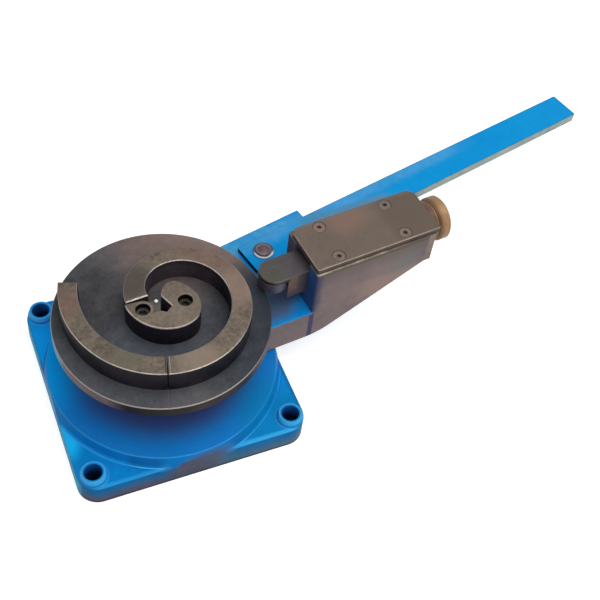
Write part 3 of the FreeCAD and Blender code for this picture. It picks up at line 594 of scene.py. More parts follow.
# ---------------------------------------------------------------- former disc
# Turned steel, oil-blackened. Its face is slate grey with faint lathe rings, brown on the far side as
# a painted reflection and darker in places as painted shade; its rim is dark, and a painted
# highlight runs along the rim's upper corner at the front and left.


def ring_group():
    group, given, out = new_group(
        "lathe_rings", [("Rings", FLOAT, 400.0), ("Depth", FLOAT, 0.5)], [("Fac", FLOAT)])
    far = vector_of(group, "LENGTH", vector_of(group, "MULTIPLY", object_place(group), ROUND_Z))
    cut = add(group, "ShaderNodeTexNoise", noise_dimensions="1D")
    feed(group, cut.inputs["W"], math_of(group, "MULTIPLY", far, given["Rings"]))
    feed(group, cut.inputs["Scale"], 1.0)
    feed(group, cut.inputs["Detail"], 3.0)
    depth = math_of(group, "SUBTRACT", cut.outputs["Fac"], 0.5)
    depth = math_of(group, "MULTIPLY", depth, given["Depth"])
    depth = math_of(group, "MULTIPLY", depth, noise_of(group, 28.0))
    feed(group, out["Fac"], math_of(group, "ADD", depth, 0.5, clamp=True))
    return group


lathe_rings = ring_group()

DISC_TOP = 0.1035
GROOVE_FLOOR = 0.1031


def sloping(tree):
    return both(tree, towards(tree, UP, 0.15, 0.4), steep(tree, 0.82, 0.97))


def disc_face(tree):
    # The face is brown on the far side as a painted reflection, and painted shade darkens it at the left,
    # beside the ram and at the front right.
    colour = cloud(tree, rgb(0.082, 0.085, 0.096), rgb(0.042, 0.045, 0.054), 24.0, 200.0, 0.4)
    far_reflection_brown = cloud(tree, rgb(0.235, 0.163, 0.137), rgb(0.128, 0.097, 0.088), 26.0, 200.0, 0.4)
    colour = over(tree, colour, spot_at(tree, 0.045, 0.085, 0.035, 0.07, 0.02), far_reflection_brown)
    shade = spot_at(tree, -0.064, 0.040, 0.023, 0.036, 0.03)
    colour = over(tree, colour, shade, rgb(0.031, 0.030, 0.031), 0.9)
    painted_shade_right = any_of(tree, spot_at(tree, 0.092, -0.022, 0.03, 0.045, 0.02),
                  part_of(tree, spot_at(tree, 0.060, -0.072, 0.015, 0.032, 0.02), 0.9))
    colour = over(tree, colour, painted_shade_right, rgb(0.020, 0.026, 0.038), 0.85)
    bluish = spot_at(tree, -0.02, -0.035, 0.022, 0.03, 0.02)
    colour = over(tree, colour, bluish, rgb(0.075, 0.090, 0.115), 0.55)
    front_pale = spot_at(tree, -0.006, -0.094, 0.010, 0.024, 0.012)
    colour = over(tree, colour, front_pale, rgb(0.118, 0.112, 0.118), 0.75)
    scuffed = cloud(tree, rgb(0.125, 0.122, 0.130), rgb(0.035, 0.038, 0.046), 95.0, 420.0, 0.45, 3.6)
    return over(tree, colour, spot_at(tree, -0.02, -0.01, 0.09, 0.03), scuffed, 0.32)


def disc_rim(tree, blue_end):
    rim = cloud(tree, rgb(0.045, 0.026, 0.026), rgb(0.006, 0.005, 0.008), 40.0, 240.0, 0.35, 2.8)
    # The rim is painted near black at the front as painted shade, and bluish at the left end as a painted
    # reflection.
    rim = over(tree, rim, spot_at(tree, -0.035, -0.094, 0.022, 0.022, 0.01), rgb(0.003, 0.003, 0.004), 0.9)
    rim = over(tree, rim, spot_at(tree, 0.055, -0.084, 0.008, 0.02, 0.01), rgb(0.004, 0.012, 0.024), 0.8)
    scratched = cloud(tree, rgb(0.150, 0.095, 0.095), rgb(0.055, 0.052, 0.064), 60.0, 240.0, 0.4, 3.4)
    rim = over(tree, rim, spot_at(tree, -0.086, -0.052, 0.020, 0.022, 0.01), scratched)
    return over(tree, rim, blue_end, rgb(0.085, 0.21, 0.34), 0.9)


disc_steel, tree, shader = new_finish("disc_blackened", 0.5, 0.3, 0.1)
rings = use(tree, lathe_rings, Rings=520.0, Depth=1.6)["Fac"]
colour = mix_of(tree, "RGBA", 0.16, disc_face(tree), rings, blend_type="OVERLAY")
blue_end = spot_at(tree, -0.100, 0.020, 0.028, 0.022)
colour = over(tree, colour, steep(tree, 0.2, 0.5), disc_rim(tree, blue_end))
index_line = both(tree, towards(tree, UP), at_height(tree, GROOVE_FLOOR, 0.00012, 0.0001))
colour = over(tree, colour, index_line, rgb(0.15, 0.15, 0.16))
rounded_edges = edge_masks(tree, 0.0011, 5.0, 0.5)
# A painted highlight runs along the rim's top corner at the front and left, bluish at the left end as a
# painted reflection.
top_corner = both(tree, sloping(tree), at_height(tree, DISC_TOP, 0.001, 0.0005))
light_line = any_of(tree, part_of(tree, top_corner, 0.7), both(tree, rounded_edges["Edge"], top_corner))
reach = spot_at(tree, -0.04, -0.06, 0.08, 0.06)
light_line = both(tree, light_line, reach)
colour = over(tree, colour, light_line, rgb(0.42, 0.35, 0.31))
colour = over(tree, colour, both(tree, light_line, blue_end), rgb(0.20, 0.36, 0.48))
turned = bump_of(tree, rings, 0.00003, 0.5, rounded_edges["Normal"])
coat(tree, shader, colour, grainy(tree, 420.0, 0.00012, turned), uneven_gloss(tree, 0.42, 0.56))
wear(disc_steel, "former_disc")


# ---------------------------------------------------------------- scroll core and ridge segments
# Steel sawn and filed to the spiral, then oil-blackened. The tops are browned by handling and the
# walls stay near black; every upper rim carries a painted highlight, strongest on the side facing the
# front.

JOINT = Vector((-0.0169, -0.0673, 0.0))
JOINT_WAY = Vector((0.970, -0.243, 0.0))
RIDGE_TOP = 0.1275
LEDGE_TOP = 0.1235
CORE_BORE_RADIUS = 0.0070
CORE_SCREW_SPOTS = [(-0.0193, -0.0052, 0.0), (0.0196, -0.0068, 0.0)]


def leaning(tree, normal, way, low, high):
    return fade_of(tree, vector_of(tree, "DOT_PRODUCT", normal, way), low, high)


def browned_tops(tree):
    top = cloud(tree, rgb(0.190, 0.150, 0.115), rgb(0.088, 0.072, 0.057), 38.0, 280.0, 0.6, 4.0)
    rusted = cloud(tree, rgb(0.195, 0.128, 0.100), rgb(0.100, 0.072, 0.060), 46.0, 260.0, 0.4, 3.0)
    greenish = cloud(tree, rgb(0.150, 0.138, 0.098), rgb(0.088, 0.082, 0.062), 44.0, 240.0, 0.4, 2.6)
    rust_spots = any_of(tree, spot_at(tree, 0.060, 0.042, 0.018, 0.028, 0.03),
                        spot_at(tree, -0.082, 0.020, 0.006, 0.020, 0.02),
                        spot_at(tree, 0.020, -0.080, 0.004, 0.016, 0.02))
    top = over(tree, top, rust_spots, rusted)
    green_spots = any_of(tree, spot_at(tree, -0.062, 0.004, 0.004, 0.016, 0.014),
                         spot_at(tree, -0.045, -0.050, 0.006, 0.016, 0.014))
    top = over(tree, top, green_spots, greenish, 0.8)
    reddish = cloud(tree, rgb(0.275, 0.188, 0.150), rgb(0.175, 0.128, 0.102), 60.0)
    top = over(tree, top, spot_at(tree, 0.073, -0.006, 0.010, 0.024, 0.014), reddish, 0.8)
    handled_pale = spot_at(tree, 0.012, -0.070, 0.008, 0.020, 0.02)
    top = over(tree, top, handled_pale, rgb(0.235, 0.183, 0.138), 0.75)
    smoky = spot_at(tree, -0.022, 0.028, 0.010, 0.026, 0.012)
    top = over(tree, top, smoky, rgb(0.066, 0.054, 0.047), 0.85)
    tan = cloud(tree, rgb(0.235, 0.175, 0.140), rgb(0.140, 0.120, 0.092), 60.0)
    top = over(tree, top, spot_at(tree, 0.010, -0.010, 0.020, 0.008), tan, 0.4)
    # At the segment joint the gap is painted dark as painted shade, with a painted highlight on the lip
    # beyond it.
    by_joint = near(tree, JOINT, ROUND_Z, 0.018, 0.002)
    for offset, half, soft, tone, share in ((0.0021, 0.0003, 0.0004, rgb(0.36, 0.31, 0.26), 0.6),
                                            (0.0010, 0.0006, 0.0003, rgb(0.055, 0.050, 0.044), 0.9),
                                            (-0.0010, 0.0007, 0.0003, rgb(0.008, 0.007, 0.006), 0.95)):
        band = both(tree, by_joint, across(tree, JOINT + offset * JOINT_WAY, JOINT_WAY, half, soft))
        top = over(tree, top, band, tone, share)
    return top


def blackened_walls(tree):
    walls = cloud(tree, rgb(0.030, 0.025, 0.033), rgb(0.003, 0.006, 0.010), 30.0, 200.0, 0.3, 2.8)
    # The far inner walls that face the front are painted a lighter purple as painted light, with painted
    # shade just under the rim.
    far_inside = both(tree, spot_at(tree, 0.01, 0.05, 0.050, 0.02), towards(tree, (0, -1, 0), 0.0, 0.5))
    purple = cloud(tree, rgb(0.120, 0.092, 0.110), rgb(0.030, 0.027, 0.032), 30.0)
    under_rim = at_height(tree, RIDGE_TOP + 0.0015, 0.003, 0.008)
    purple = over(tree, purple, under_rim, rgb(0.016, 0.015, 0.018), 0.7)
    return over(tree, walls, far_inside, purple, 0.85)


def sunk_for_screws(tree, colour):
    ledge = both(tree, spot_at(tree, -0.005, 0.0, 0.008, 0.004), at_height(tree, LEDGE_TOP, 0.001, 0.0005),
                 towards(tree, UP))
    colour = over(tree, colour, ledge, rgb(0.105, 0.090, 0.080))
    # The screw counterbores are painted near black inside as painted shade.
    for spot in CORE_SCREW_SPOTS:
        bore = both(tree, near(tree, spot, ROUND_Z, CORE_BORE_RADIUS, 0.0002), steep(tree, 0.3, 0.6))
        colour = over(tree, colour, bore, rgb(0.004, 0.004, 0.004))
    return colour


def rim_highlights(tree, colour, rounded_edges):
    # Painted highlights on every upper rim, strongest where it faces the front, and on the core's front
    # rim; the lower edges are lighter as worn steel with a painted highlight.
    upper = at_height(tree, RIDGE_TOP, 0.0010, 0.0005)
    corner = both(tree, sloping(tree), upper)
    lit_side = leaning(tree, rounded_edges["Normal"], (-0.45, -0.90, 0.0), 0.10, 0.42)
    broken = cloud(tree, rgb(1.0, 1.0, 1.0), rgb(0.45, 0.45, 0.45), 120.0, 420.0, 0.5, 3.0)
    rim_light = any_of(tree, part_of(tree, corner, 0.22), both(tree, corner, lit_side, broken))
    colour = over(tree, colour, rim_light, rgb(0.62, 0.56, 0.50))
    core_rounding = edge_masks(tree, 0.0026, 8.0, 0.0)
    core_side = leaning(tree, core_rounding["Normal"], (-0.50, -0.85, 0.0), 0.10, 0.28)
    core_lit = both(tree, core_side, upper, broken, spot_at(tree, 0, -0.008, 0.0335, 0.002))
    around_screws = any_of(tree, *[near(tree, spot, ROUND_Z, CORE_BORE_RADIUS + 0.0008, 0.0008)
                                   for spot in CORE_SCREW_SPOTS])
    core_lit = both(tree, core_lit, outside_of(tree, part_of(tree, around_screws, 0.7)))
    colour = over(tree, colour, core_lit, rgb(0.70, 0.59, 0.55), 0.9)
    lower_edges = both(tree, part_of(tree, rounded_edges["Edge"], 0.35), outside_of(tree, upper))
    return over(tree, colour, lower_edges, rgb(0.10, 0.09, 0.085))


former_steel, tree, shader = new_finish("former_blackened", 0.5, 0.3, 0.1)
rounded_edges = edge_masks(tree, 0.0010, 6.0, 0.7, 60.0)
colour = over(tree, blackened_walls(tree), towards(tree, UP, 0.55, 0.8), browned_tops(tree))
colour = sunk_for_screws(tree, colour)
colour = rim_highlights(tree, colour, rounded_edges)
gloss = uneven_gloss(tree, 0.42, 0.56, 40.0)
coat(tree, shader, colour, grainy(tree, 420.0, 0.00018, rounded_edges["Normal"]), gloss)
wear(former_steel, "scroll_core", "inner_segment", "outer_segment")


# ---------------------------------------------------------------- core screws, gauge pin and dowels
# Socket screws sunk in the core, browned on top and dark in their hexagons, a small ground
# gauge pin beside the notch, and the ground dowels that stand the segments on the disc.

screw_steel = turned_metal(
    "screw_browned", rgb(0.085, 0.075, 0.058), rgb(0.030, 0.026, 0.020), 0.45, 0.4, 0.2)
pin_steel = turned_metal("gauge_pin_ground", rgb(0.80, 0.79, 0.76), rgb(0.66, 0.64, 0.61), 0.28)
wear(screw_steel, "core_screws")
wear(pin_steel, "gauge_pin")
wear(bright_steel, "inner_segment_dowels", "outer_segment_dowels")


# ---------------------------------------------------------------- arm casting
# The arm is an iron casting in the same azure paint. Its near side is mauve brown as a painted
# reflection, and painted shade darkens the pocket in front of the ram and the rim under the cover.

ARM_TURN = math.radians(6.0)


def on_arm(along, beside, height=0.0):
    return (along * math.cos(ARM_TURN) - beside * math.sin(ARM_TURN),
            along * math.sin(ARM_TURN) + beside * math.cos(ARM_TURN), height)


ARM_ALONG = on_arm(1.0, 0.0)
ARM_NEAR = on_arm(0.0, -1.0)
ARM_FAR = on_arm(0.0, 1.0)
ARM_BACK = on_arm(-1.0, 0.0)
NEAR_FACE = -0.0367
HOUSING_FRONT = 0.139
HOUSING_TOP = 0.132
SHELF_TOP = 0.076


def at_station(tree, along, half, soft, wobble=0.0):
    return across(tree, on_arm(along, 0.0), ARM_ALONG, half, soft, wobble)


def beside_arm(tree, beside, half, soft, wobble=0.0):
    return across(tree, on_arm(0.0, beside), ARM_FAR, half, soft, wobble)


def near_side_sheen(tree, colour, near_side):
    # The near side is painted mauve brown, with tan and greenish patches, as a painted reflection of the
    # surroundings in the glossy paint; it is painted darker under the cover as painted shade, and dark
    # slate blue at the front corner.
    sheen_tone = cloud(tree, rgb(0.260, 0.195, 0.180), rgb(0.160, 0.130, 0.140), 20.0, 120.0, 0.35, 2.6)
    colour = over(tree, colour, near_side, sheen_tone)
    tan_sheen = both(tree, near_side, at_station(tree, 0.235, 0.025, 0.04, 0.02),
                  at_height(tree, 0.082, 0.008, 0.012, 0.01))
    colour = over(tree, colour, tan_sheen, rgb(0.33, 0.235, 0.20), 0.7)
    greenish = near(tree, on_arm(0.238, NEAR_FACE, 0.108), (1, 1, 1), 0.006, 0.016, wobble=0.012)
    colour = over(tree, colour, both(tree, near_side, greenish), rgb(0.175, 0.19, 0.18), 0.6)
    under_cover = both(tree, near_side, at_height(tree, HOUSING_TOP + 0.002, 0.006, 0.022, 0.01))
    colour = over(tree, colour, under_cover, rgb(0.150, 0.118, 0.118), 0.7)
    front_corner = both(tree, near_side, at_station(tree, HOUSING_FRONT, 0.002, 0.009, 0.006),
                        at_height(tree, 0.11, 0.026, 0.014))
    return over(tree, colour, front_corner, rgb(0.055, 0.062, 0.115), 0.85)


def housing_mouth(tree, colour, inner, level_top):
    # Painted shade darkens the housing's mouth, its far inner face and the front fillet, and a painted
    # shadow of the ram lies on the pocket floor in front of it.
    colour = over(tree, colour, inner, rgb(0.03, 0.085, 0.23))
    far_inner = both(tree, inner, beside_arm(tree, 0.022, 0.014, 0.006))
    colour = over(tree, colour, far_inner, rgb(0.085, 0.070, 0.105))
    front_fillet = both(tree, at_station(tree, HOUSING_FRONT + 0.0005, 0.0024, 0.0006),
                        beside_arm(tree, NEAR_FACE, 0.0024, 0.0006),
                        outside_of(tree, at_height(tree, SHELF_TOP, 0.0015, 0.001)))
    colour = over(tree, colour, front_fillet, rgb(0.065, 0.065, 0.125))
    pocket = both(tree, level_top, near(tree, on_arm(0.108, 0.0), ROUND_Z, 0.022, 0.018, wobble=0.01),
                  at_height(tree, SHELF_TOP, 0.002, 0.001))
    return over(tree, colour, pocket, rgb(0.085, 0.100, 0.145), 0.85)


arm_paint, tree, shader = new_finish("arm_azure", 0.42, specular=0.03)
level_top = towards(tree, UP)
colour = cloud(tree, rgb(0.006, 0.275, 0.68), rgb(0.003, 0.20, 0.55), 20.0, 150.0, 0.45, 2.4)
faded = cloud(tree, rgb(0.10, 0.36, 0.58), rgb(0.02, 0.27, 0.60), 40.0, 160.0, 0.4, 3.0)
far_shelf = beside_arm(tree, 0.068, 0.008, 0.014, 0.012)
colour = over(tree, colour, both(tree, far_shelf, level_top), faded)
near_side = towards(tree, ARM_NEAR, 0.72, 0.95)
colour = near_side_sheen(tree, colour, near_side)
inner = both(tree, towards(tree, ARM_BACK, 0.4, 0.8), at_station(tree, 0.15, 0.02, 0.01))
colour = housing_mouth(tree, colour, inner, level_top)
top_strip = at_height(tree, HOUSING_TOP, 0.0012, 0.0008)
colour = over(tree, colour, top_strip, cloud(tree, rgb(0.20, 0.16, 0.135), rgb(0.10, 0.08, 0.075), 50.0))
rounded_edges = edge_masks(tree, 0.0014, 5.0, 0.6)
not_azure = any_of(tree, near_side, top_strip, inner)
# Painted highlights on the rounded azure edges.
edge_highlights = both(tree, part_of(tree, rounded_edges["Edge"], 0.5), outside_of(tree, not_azure))
colour = over(tree, colour, edge_highlights, rgb(0.08, 0.40, 0.78))
# A painted highlight along the ledge under the cover's near edge, and a painted shadow line just below it.
ledge = both(tree, at_height(tree, HOUSING_TOP + 0.0002, 0.0013, 0.0006),
             beside_arm(tree, NEAR_FACE + 0.0005, 0.0018, 0.001), at_station(tree, 0.2, 0.07, 0.01))
sparkle = cloud(tree, rgb(0.50, 0.43, 0.36), rgb(0.15, 0.115, 0.09), 60.0, 300.0, 0.3, 4.5)
colour = over(tree, colour, both(tree, ledge, at_station(tree, 0.165, 0.03, 0.05)), sparkle)
olive = both(tree, near_side, at_height(tree, HOUSING_TOP - 0.0025, 0.0012, 0.0012, 0.001))
colour = over(tree, colour, olive, rgb(0.115, 0.098, 0.058), 0.8)
coat(tree, shader, colour, grainy(tree, 300.0, 0.0005, rounded_edges["Normal"]), uneven_gloss(tree, 0.36, 0.5))
wear(arm_paint, "arm_casting")


# ---------------------------------------------------------------- ram and nose roller
# The ram is milled from oil-blackened bar, grey on its rounded nose and tan on the side that
# slides in the housing. The roller under the nose is nearly black with a rusty sheen.

CHEEK_EDGE = 0.1225


def ram_flank(tree):
    flank = cloud(tree, rgb(0.150, 0.085, 0.066), rgb(0.070, 0.043, 0.040), 40.0, 220.0, 0.4, 2.6)
    # The flank is painted darker towards the housing and along its bottom as painted shade.
    flank_dark = any_of(tree, at_station(tree, 0.152, 0.021, 0.005, 0.004),
                        at_height(tree, 0.093, 0.004, 0.010, 0.008))
    flank = over(tree, flank, flank_dark, rgb(0.046, 0.040, 0.056), 0.85)
    nose_side = both(tree, at_station(tree, 0.10, 0.0185, 0.003),
                     at_height(tree, CHEEK_EDGE, 0.0056, 0.0004))
    streaky = cloud(tree, rgb(0.050, 0.036, 0.034), rgb(0.006, 0.006, 0.008), 90.0, 300.0, 0.4, 3.4)
    flank = over(tree, flank, nose_side, streaky)
    # A painted highlight along the lip of the cheek at the nose.
    lip = at_height(tree, CHEEK_EDGE, 0.0014, 0.0008)
    sheen_tone = cloud(tree, rgb(0.17, 0.15, 0.11), rgb(0.09, 0.08, 0.062), 50.0)
    return over(tree, flank, both(tree, lip, nose_side), sheen_tone)


ram_steel, tree, shader = new_finish("ram_blackened", 0.5, 0.3, 0.2)
colour = cloud(tree, rgb(0.088, 0.074, 0.082), rgb(0.050, 0.045, 0.048), 30.0, 200.0, 0.4, 2.6)
oiled = near(tree, on_arm(0.102, -0.014), ROUND_Z, 0.010, 0.016, wobble=0.01)
colour = over(tree, colour, oiled, cloud(tree, rgb(0.082, 0.080, 0.068), rgb(0.055, 0.053, 0.044), 30.0))
colour = over(tree, colour, steep(tree, 0.3, 0.6), ram_flank(tree))
rounded_edges = edge_masks(tree, 0.0009, 5.0, 0.6)
colour = over(tree, colour, rounded_edges["Edge"], rgb(0.24, 0.20, 0.165), 0.45)
coat(tree, shader, colour, grainy(tree, 420.0, 0.00015, rounded_edges["Normal"]), uneven_gloss(tree, 0.42, 0.56))

roller_steel = turned_metal(
    "roller_blackened", rgb(0.125, 0.105, 0.145), rgb(0.030, 0.030, 0.044), 0.38, 0.2, 0.2)

pin_head, tree, shader = new_finish("roller_pin_flush", 0.5, 0.3, 0.2)
colour = cloud(tree, rgb(0.084, 0.078, 0.072), rgb(0.056, 0.052, 0.048), 30.0, 200.0, 0.4)
feed(tree, shader.inputs["Base Color"], colour)
wear(ram_steel, "ram_body")
wear(pin_head, "roller_pin")
wear(roller_steel, "ram_roller")


# ---------------------------------------------------------------- cover plate and its screws
# A ground plate, oil-browned, with painted highlights along its near and front edges. Four button
# screws with small hexagons sit in shallow recesses, each ringed with painted shade.

COVER_TOP = 0.138
RECESS_RADIUS = 0.0064
RAM_LINE = -0.0072
SCREW_SPOTS = [on_arm(along, RAM_LINE + beside)
               for along in (0.1667, 0.2398)
               for beside in (-0.0194, 0.0194)]

cover_steel, tree, shader = new_finish("cover_browned", 0.48, 0.3, 0.2)
colour = cloud(tree, rgb(0.148, 0.112, 0.088), rgb(0.108, 0.083, 0.066), 16.0, 200.0, 0.45, 2.6)
rusty = spot_at(tree, 0.192, 0.036, 0.008, 0.026, 0.03)
colour = over(tree, colour, rusty, rgb(0.195, 0.120, 0.090), 0.75)
darker_band = at_station(tree, 0.262, 0.026, 0.014, 0.012)
colour = over(tree, colour, darker_band, rgb(0.100, 0.072, 0.052), 0.6)
far_margin = beside_arm(tree, 0.0208, 0.001, 0.006, 0.003)
colour = over(tree, colour, far_margin, rgb(0.130, 0.125, 0.130), 0.55)
edge_face = cloud(tree, rgb(0.10, 0.072, 0.056), rgb(0.035, 0.026, 0.023), 50.0, 220.0, 0.4, 2.6)
upright_side = steep(tree, 0.3, 0.6)
colour = over(tree, colour, upright_side, edge_face)
# The front face is painted darker still as painted shade.
front_face = both(tree, upright_side, towards(tree, ARM_BACK, 0.5, 0.8))
colour = over(tree, colour, front_face, rgb(0.060, 0.048, 0.060), 0.9)
# Each recess is ringed with painted shade.
for spot in SCREW_SPOTS:
    recess = near(tree, spot, ROUND_Z, 0.0003, 0.0005, middle=RECESS_RADIUS)
    colour = over(tree, colour, recess, rgb(0.070, 0.052, 0.044), 0.5)
rounded_edges = edge_masks(tree, 0.0010, 5.0, 0.6, 70.0)
# A painted highlight along the near and front top edges.
near_rim = beside_arm(tree, -0.0352, 0.0011, 0.0006)
front_rim = at_station(tree, 0.140, 0.0011, 0.0006)
upper = at_height(tree, COVER_TOP, 0.0009, 0.0006)
cover_rim_highlight = both(tree, upper, any_of(tree, near_rim, front_rim), any_of(tree, sloping(tree), rounded_edges["Edge"]))
colour = over(tree, colour, cover_rim_highlight, cloud(tree, rgb(0.42, 0.33, 0.28), rgb(0.22, 0.165, 0.135), 60.0), 0.85)
coat(tree, shader, colour, grainy(tree, 420.0, 0.00015, rounded_edges["Normal"]), uneven_gloss(tree, 0.4, 0.54))

button_steel, tree, shader = new_finish("button_screw_browned", 0.42, 0.4, 0.25)
colour = cloud(tree, rgb(0.205, 0.158, 0.125), rgb(0.115, 0.088, 0.070), 90.0, 400.0, 0.4, 3.0)
for spot in SCREW_SPOTS:
    colour = over(tree, colour, near(tree, spot, ROUND_Z, 0.0024, 0.0008), rgb(0.17, 0.13, 0.10))
first_screw = near(tree, SCREW_SPOTS[1], ROUND_Z, 0.0065, 0.0005)
colour = over(tree, colour, first_screw, rgb(0.22, 0.135, 0.11), 0.6)
rounded_edges = edge_masks(tree, 0.0006, 4.0, 0.4, 160.0)
colour = over(tree, colour, rounded_edges["Edge"], rgb(0.36, 0.29, 0.24), 0.6)
coat(tree, shader, colour, grainy(tree, 900.0, 0.00006, rounded_edges["Normal"]))
wear(cover_steel, "cover_plate")
wear(button_steel, "cover_screws")


# ---------------------------------------------------------------- end plate, adjuster and knob
# The end plate and thrust collar are oil-browned steel. The knob is turned bronze on a ground
# screw, each fixed by a driven pin.

plate_steel, tree, shader = new_finish("end_plate_browned", 0.48, 0.3, 0.25)
colour = cloud(tree, rgb(0.24, 0.175, 0.135), rgb(0.13, 0.095, 0.075), 36.0, 220.0, 0.4, 2.4)
rounded_edges = edge_masks(tree, 0.0010, 5.0, 0.5)
colour = over(tree, colour, rounded_edges["Edge"], rgb(0.42, 0.33, 0.27), 0.6)
coat(tree, shader, colour, grainy(tree, 420.0, 0.00012, rounded_edges["Normal"]), uneven_gloss(tree, 0.4, 0.54))

collar_steel = turned_metal(
    "collar_browned", rgb(0.17, 0.095, 0.06), rgb(0.085, 0.05, 0.034), 0.45, 0.3, 0.2)

knob_bronze, tree, shader = new_finish("knob_bronze", 0.42, 0.4, 0.25)
colour = cloud(tree, rgb(0.37, 0.215, 0.100), rgb(0.25, 0.145, 0.072), 36.0, 260.0, 0.4, 2.4)
# The knob's far side and its inward face are painted darker as painted shade.
darker_band = beside_arm(tree, 0.016, 0.008, 0.012, 0.006)
colour = over(tree, colour, darker_band, rgb(0.17, 0.105, 0.075), 0.7)
inward = at_station(tree, 0.283, 0.003, 0.004)
colour = over(tree, colour, inward, rgb(0.15, 0.085, 0.05), 0.7)
rounded_edges = edge_masks(tree, 0.0010, 4.0, 0.5)
colour = over(tree, colour, rounded_edges["Edge"], rgb(0.20, 0.125, 0.07), 0.5)
gloss = uneven_gloss(tree, 0.38, 0.5, 60.0)
coat(tree, shader, colour, grainy(tree, 900.0, 0.00006, rounded_edges["Normal"]), gloss)
wear(plate_steel, "end_plate")
wear(black_nut, "end_plate_screws")
wear(collar_steel, "thrust_collar", "collar_pin")
wear(knob_bronze, "adjuster_knob", "knob_pin")
wear(bright_steel, "adjuster_screw")


# ---------------------------------------------------------------- lever
# A flat bar butt-welded to a thinner tongue, in the same azure paint. The paint is dark along its
# edges, and the long near side is painted grey as a painted reflection.

BAR_HALF_WIDTH = 0.0175
lever_turn = ARM_TURN + math.radians(7.9)
LEVER_NEAR = (math.sin(lever_turn), -math.cos(lever_turn), 0.0)
LEVER_FAR = (-math.sin(lever_turn), math.cos(lever_turn), 0.0)
LEVER_ALONG = (math.cos(lever_turn), math.sin(lever_turn), 0.0)
LEVER_BACK = (-math.cos(lever_turn), -math.sin(lever_turn), 0.0)
pivot = Vector(on_arm(0.1295, 0.0475))


def lever_finish(name, rounding):
    finish, tree, shader = new_finish(name, 0.42, specular=0.03)
    colour = cloud(tree, rgb(0.006, 0.30, 0.66), rgb(0.003, 0.245, 0.60), 12.0, 140.0, 0.45, 2.4)
    # A pale painted highlight streaks the far edge near the pivot.
    pale_highlight = cloud(tree, rgb(0.085, 0.35, 0.68), rgb(0.025, 0.27, 0.56), 24.0, 150.0, 0.4, 2.8)
    far_edge = pivot + BAR_HALF_WIDTH * Vector(LEVER_FAR)
    streak = both(tree, across(tree, far_edge, LEVER_FAR, 0.007, 0.010, 0.008),
                  near(tree, pivot, ROUND_Z, 0.24, 0.06, wobble=0.04))
    colour = over(tree, colour, streak, pale_highlight, 0.9)
    shaded = near(tree, on_arm(0.122, 0.024), ROUND_Z, 0.004, 0.014, wobble=0.01)
    colour = over(tree, colour, shaded, rgb(0.03, 0.16, 0.36), 0.6)
    by_pocket = spot_at(tree, 0.188, 0.083, 0.008, 0.016, 0.008)
    colour = over(tree, colour, by_pocket, rgb(0.10, 0.22, 0.28), 0.35)
    by_housing = both(tree, beside_arm(tree, 0.064, 0.003, 0.005, 0.003),
                      spot_at(tree, 0.232, 0.091, 0.034, 0.020))
    colour = over(tree, colour, by_housing, rgb(0.095, 0.255, 0.40), 0.8)
    # The near side is painted grey as a painted reflection of the surroundings.
    near_side = towards(tree, LEVER_NEAR, 0.7, 0.95)
    grey_sheen = cloud(tree, rgb(0.44, 0.51, 0.46), rgb(0.24, 0.31, 0.30), 24.0, 140.0, 0.4, 3.0)
    colour = over(tree, colour, near_side, grey_sheen)
    # The heel's end face is painted dark as painted shade.
    heel = towards(tree, LEVER_BACK, 0.4, 0.75)
    heel = both(tree, heel, near(tree, pivot, ROUND_Z, 0.05, 0.01))
    colour = over(tree, colour, heel, rgb(0.003, 0.035, 0.10))
    tip = towards(tree, LEVER_ALONG, 0.4, 0.75)
    tip = both(tree, tip, outside_of(tree, near(tree, pivot, ROUND_Z, 0.30, 0.05)))
    colour = over(tree, colour, tip, rgb(0.02, 0.11, 0.19), 0.8)
    rounded_edges = edge_masks(tree, rounding, 9.0, 0.4)
    on_bar = outside_of(tree, near(tree, pivot, ROUND_Z, 0.088, 0.015))
    dark_edges = both(tree, part_of(tree, rounded_edges["Edge"], 0.8), on_bar)
    colour = over(tree, colour, dark_edges, rgb(0.015, 0.11, 0.19))
    coat(tree, shader, colour, grainy(tree, 280.0, 0.0005, rounded_edges["Normal"]), uneven_gloss(tree, 0.36, 0.5))
    return finish


lever_paint = lever_finish("lever_azure", 0.0016)
weld_paint = lever_finish("weld_azure", 0.00003)
wear(lever_paint, "handle_bar", "handle_tongue")


# ---------------------------------------------------------------- lever welds
# Two runs of weld where the thick bar meets its thinner tongue. The run in the step underneath
# is left as laid, and the run across the top is ground almost flush before painting.

BAR_STARTS = 0.076
WELD_HALF_LENGTH = BAR_HALF_WIDTH - 0.0004
bar_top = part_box("handle_bar")[1][2]
tongue_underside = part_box("handle_tongue")[0][2]


def weld_run(along, height, radius, flatness, ripple, steps=46):
    run = bmesh.new()
    ring = bmesh.ops.create_circle(run, cap_ends=True, radius=radius, segments=14)["verts"]
    stride = 2.0 * WELD_HALF_LENGTH / steps
    ends = list(run.edges)
    for step in range(steps):
        grown = bmesh.ops.extrude_edge_only(run, edges=ends)["geom"]
        ring = [part for part in grown if isinstance(part, bmesh.types.BMVert)]
        ends = [part for part in grown if isinstance(part, bmesh.types.BMEdge)]
        ends = [edge for edge in ends if all(v in ring for v in edge.verts)]
        bmesh.ops.translate(run, verts=ring, vec=(0.0, 0.0, stride))
        swell = 1.0 + ripple if step % 2 == 0 else 1.0 / (1.0 + ripple)
        bmesh.ops.scale(run, verts=ring, vec=(swell, swell, 1.0))
    bmesh.ops.contextual_create(run, geom=ends)
    turn = Matrix((LEVER_ALONG, LEVER_FAR, UP)).transposed()
    lay_down = turn @ Matrix(((1, 0, 0), (0, 0, 1), (0, -flatness, 0)))
    start = pivot + along * Vector(LEVER_ALONG) - WELD_HALF_LENGTH * Vector(LEVER_FAR)
    start.z = height
    for vert in run.verts:
        vert.co = lay_down @ vert.co + start
    bmesh.ops.recalc_face_normals(run, faces=run.faces)
    return run


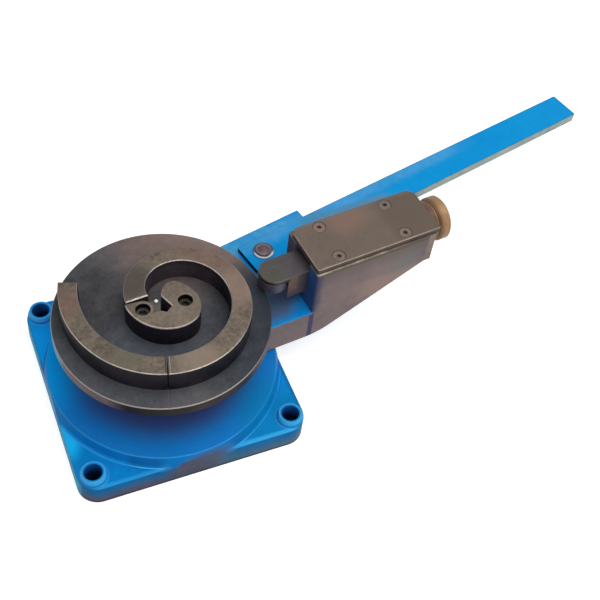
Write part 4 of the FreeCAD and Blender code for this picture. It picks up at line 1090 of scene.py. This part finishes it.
def finished(name, shape, material, body):
    mesh = bpy.data.meshes.new(name)
    shape.to_mesh(mesh)
    shape.free()
    mesh.shade_smooth()
    mesh.materials.append(material)
    piece = bpy.data.objects.new(name, mesh)
    bpy.context.scene.collection.objects.link(piece)
    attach(piece, body)


step_weld = weld_run(BAR_STARTS - 0.0004, tongue_underside, 0.0034, 1.0, 0.05)
finished("lever_step_weld", step_weld, weld_paint, "handle")
top_weld = weld_run(BAR_STARTS, bar_top, 0.0048, 0.014, 0.03)
finished("lever_top_weld", top_weld, weld_paint, "handle")


# ---------------------------------------------------------------- lever pivot
# A headed steel pin, browned on its crown, on a ground washer, and held under the shelf by a
# circlip.

pivot_steel, tree, shader = new_finish("pivot_browned", 0.42, 0.4, 0.25)
colour = cloud(tree, rgb(0.130, 0.085, 0.095), rgb(0.070, 0.050, 0.060), 120.0, 500.0, 0.4, 2.6)
red_crown = near(tree, pivot, ROUND_Z, 0.0005, 0.0045, wobble=0.003)
colour = over(tree, colour, red_crown, rgb(0.17, 0.06, 0.07), 0.8)
colour = over(tree, colour, steep(tree, 0.25, 0.55), rgb(0.020, 0.030, 0.05))
# A painted highlight on the rounded shoulder of the head.
rounded = both(tree, towards(tree, UP, 0.4, 0.6), steep(tree, 0.82, 0.93))
colour = over(tree, colour, rounded, rgb(0.24, 0.20, 0.20), 0.45)
rounded_edges = edge_masks(tree, 0.0008, 5.0, 0.4, 120.0)
gloss = uneven_gloss(tree, 0.35, 0.5, 60.0)
coat(tree, shader, colour, grainy(tree, 700.0, 0.0001, rounded_edges["Normal"]), gloss)

washer_steel, tree, shader = new_finish("washer_ground", 0.36, 0.5, 0.3)
colour = cloud(tree, rgb(0.66, 0.66, 0.64), rgb(0.38, 0.42, 0.44), 110.0, 400.0, 0.4, 2.6)
# A painted shadow of the head darkens the washer's far side.
head_shadow = near(tree, pivot + Vector((0.0018, 0.00882, 0.0)), ROUND_Z, 0.0128, 0.004, wobble=0.004)
colour = over(tree, colour, head_shadow, rgb(0.050, 0.075, 0.105))
rounded_edges = edge_masks(tree, 0.0005, 4.0, 0.3)
coat(tree, shader, colour, grainy(tree, 900.0, 0.00006, rounded_edges["Normal"]))
wear(pivot_steel, "pivot_pin")
wear(washer_steel, "pivot_washer")
wear(black_nut, "pivot_circlip")
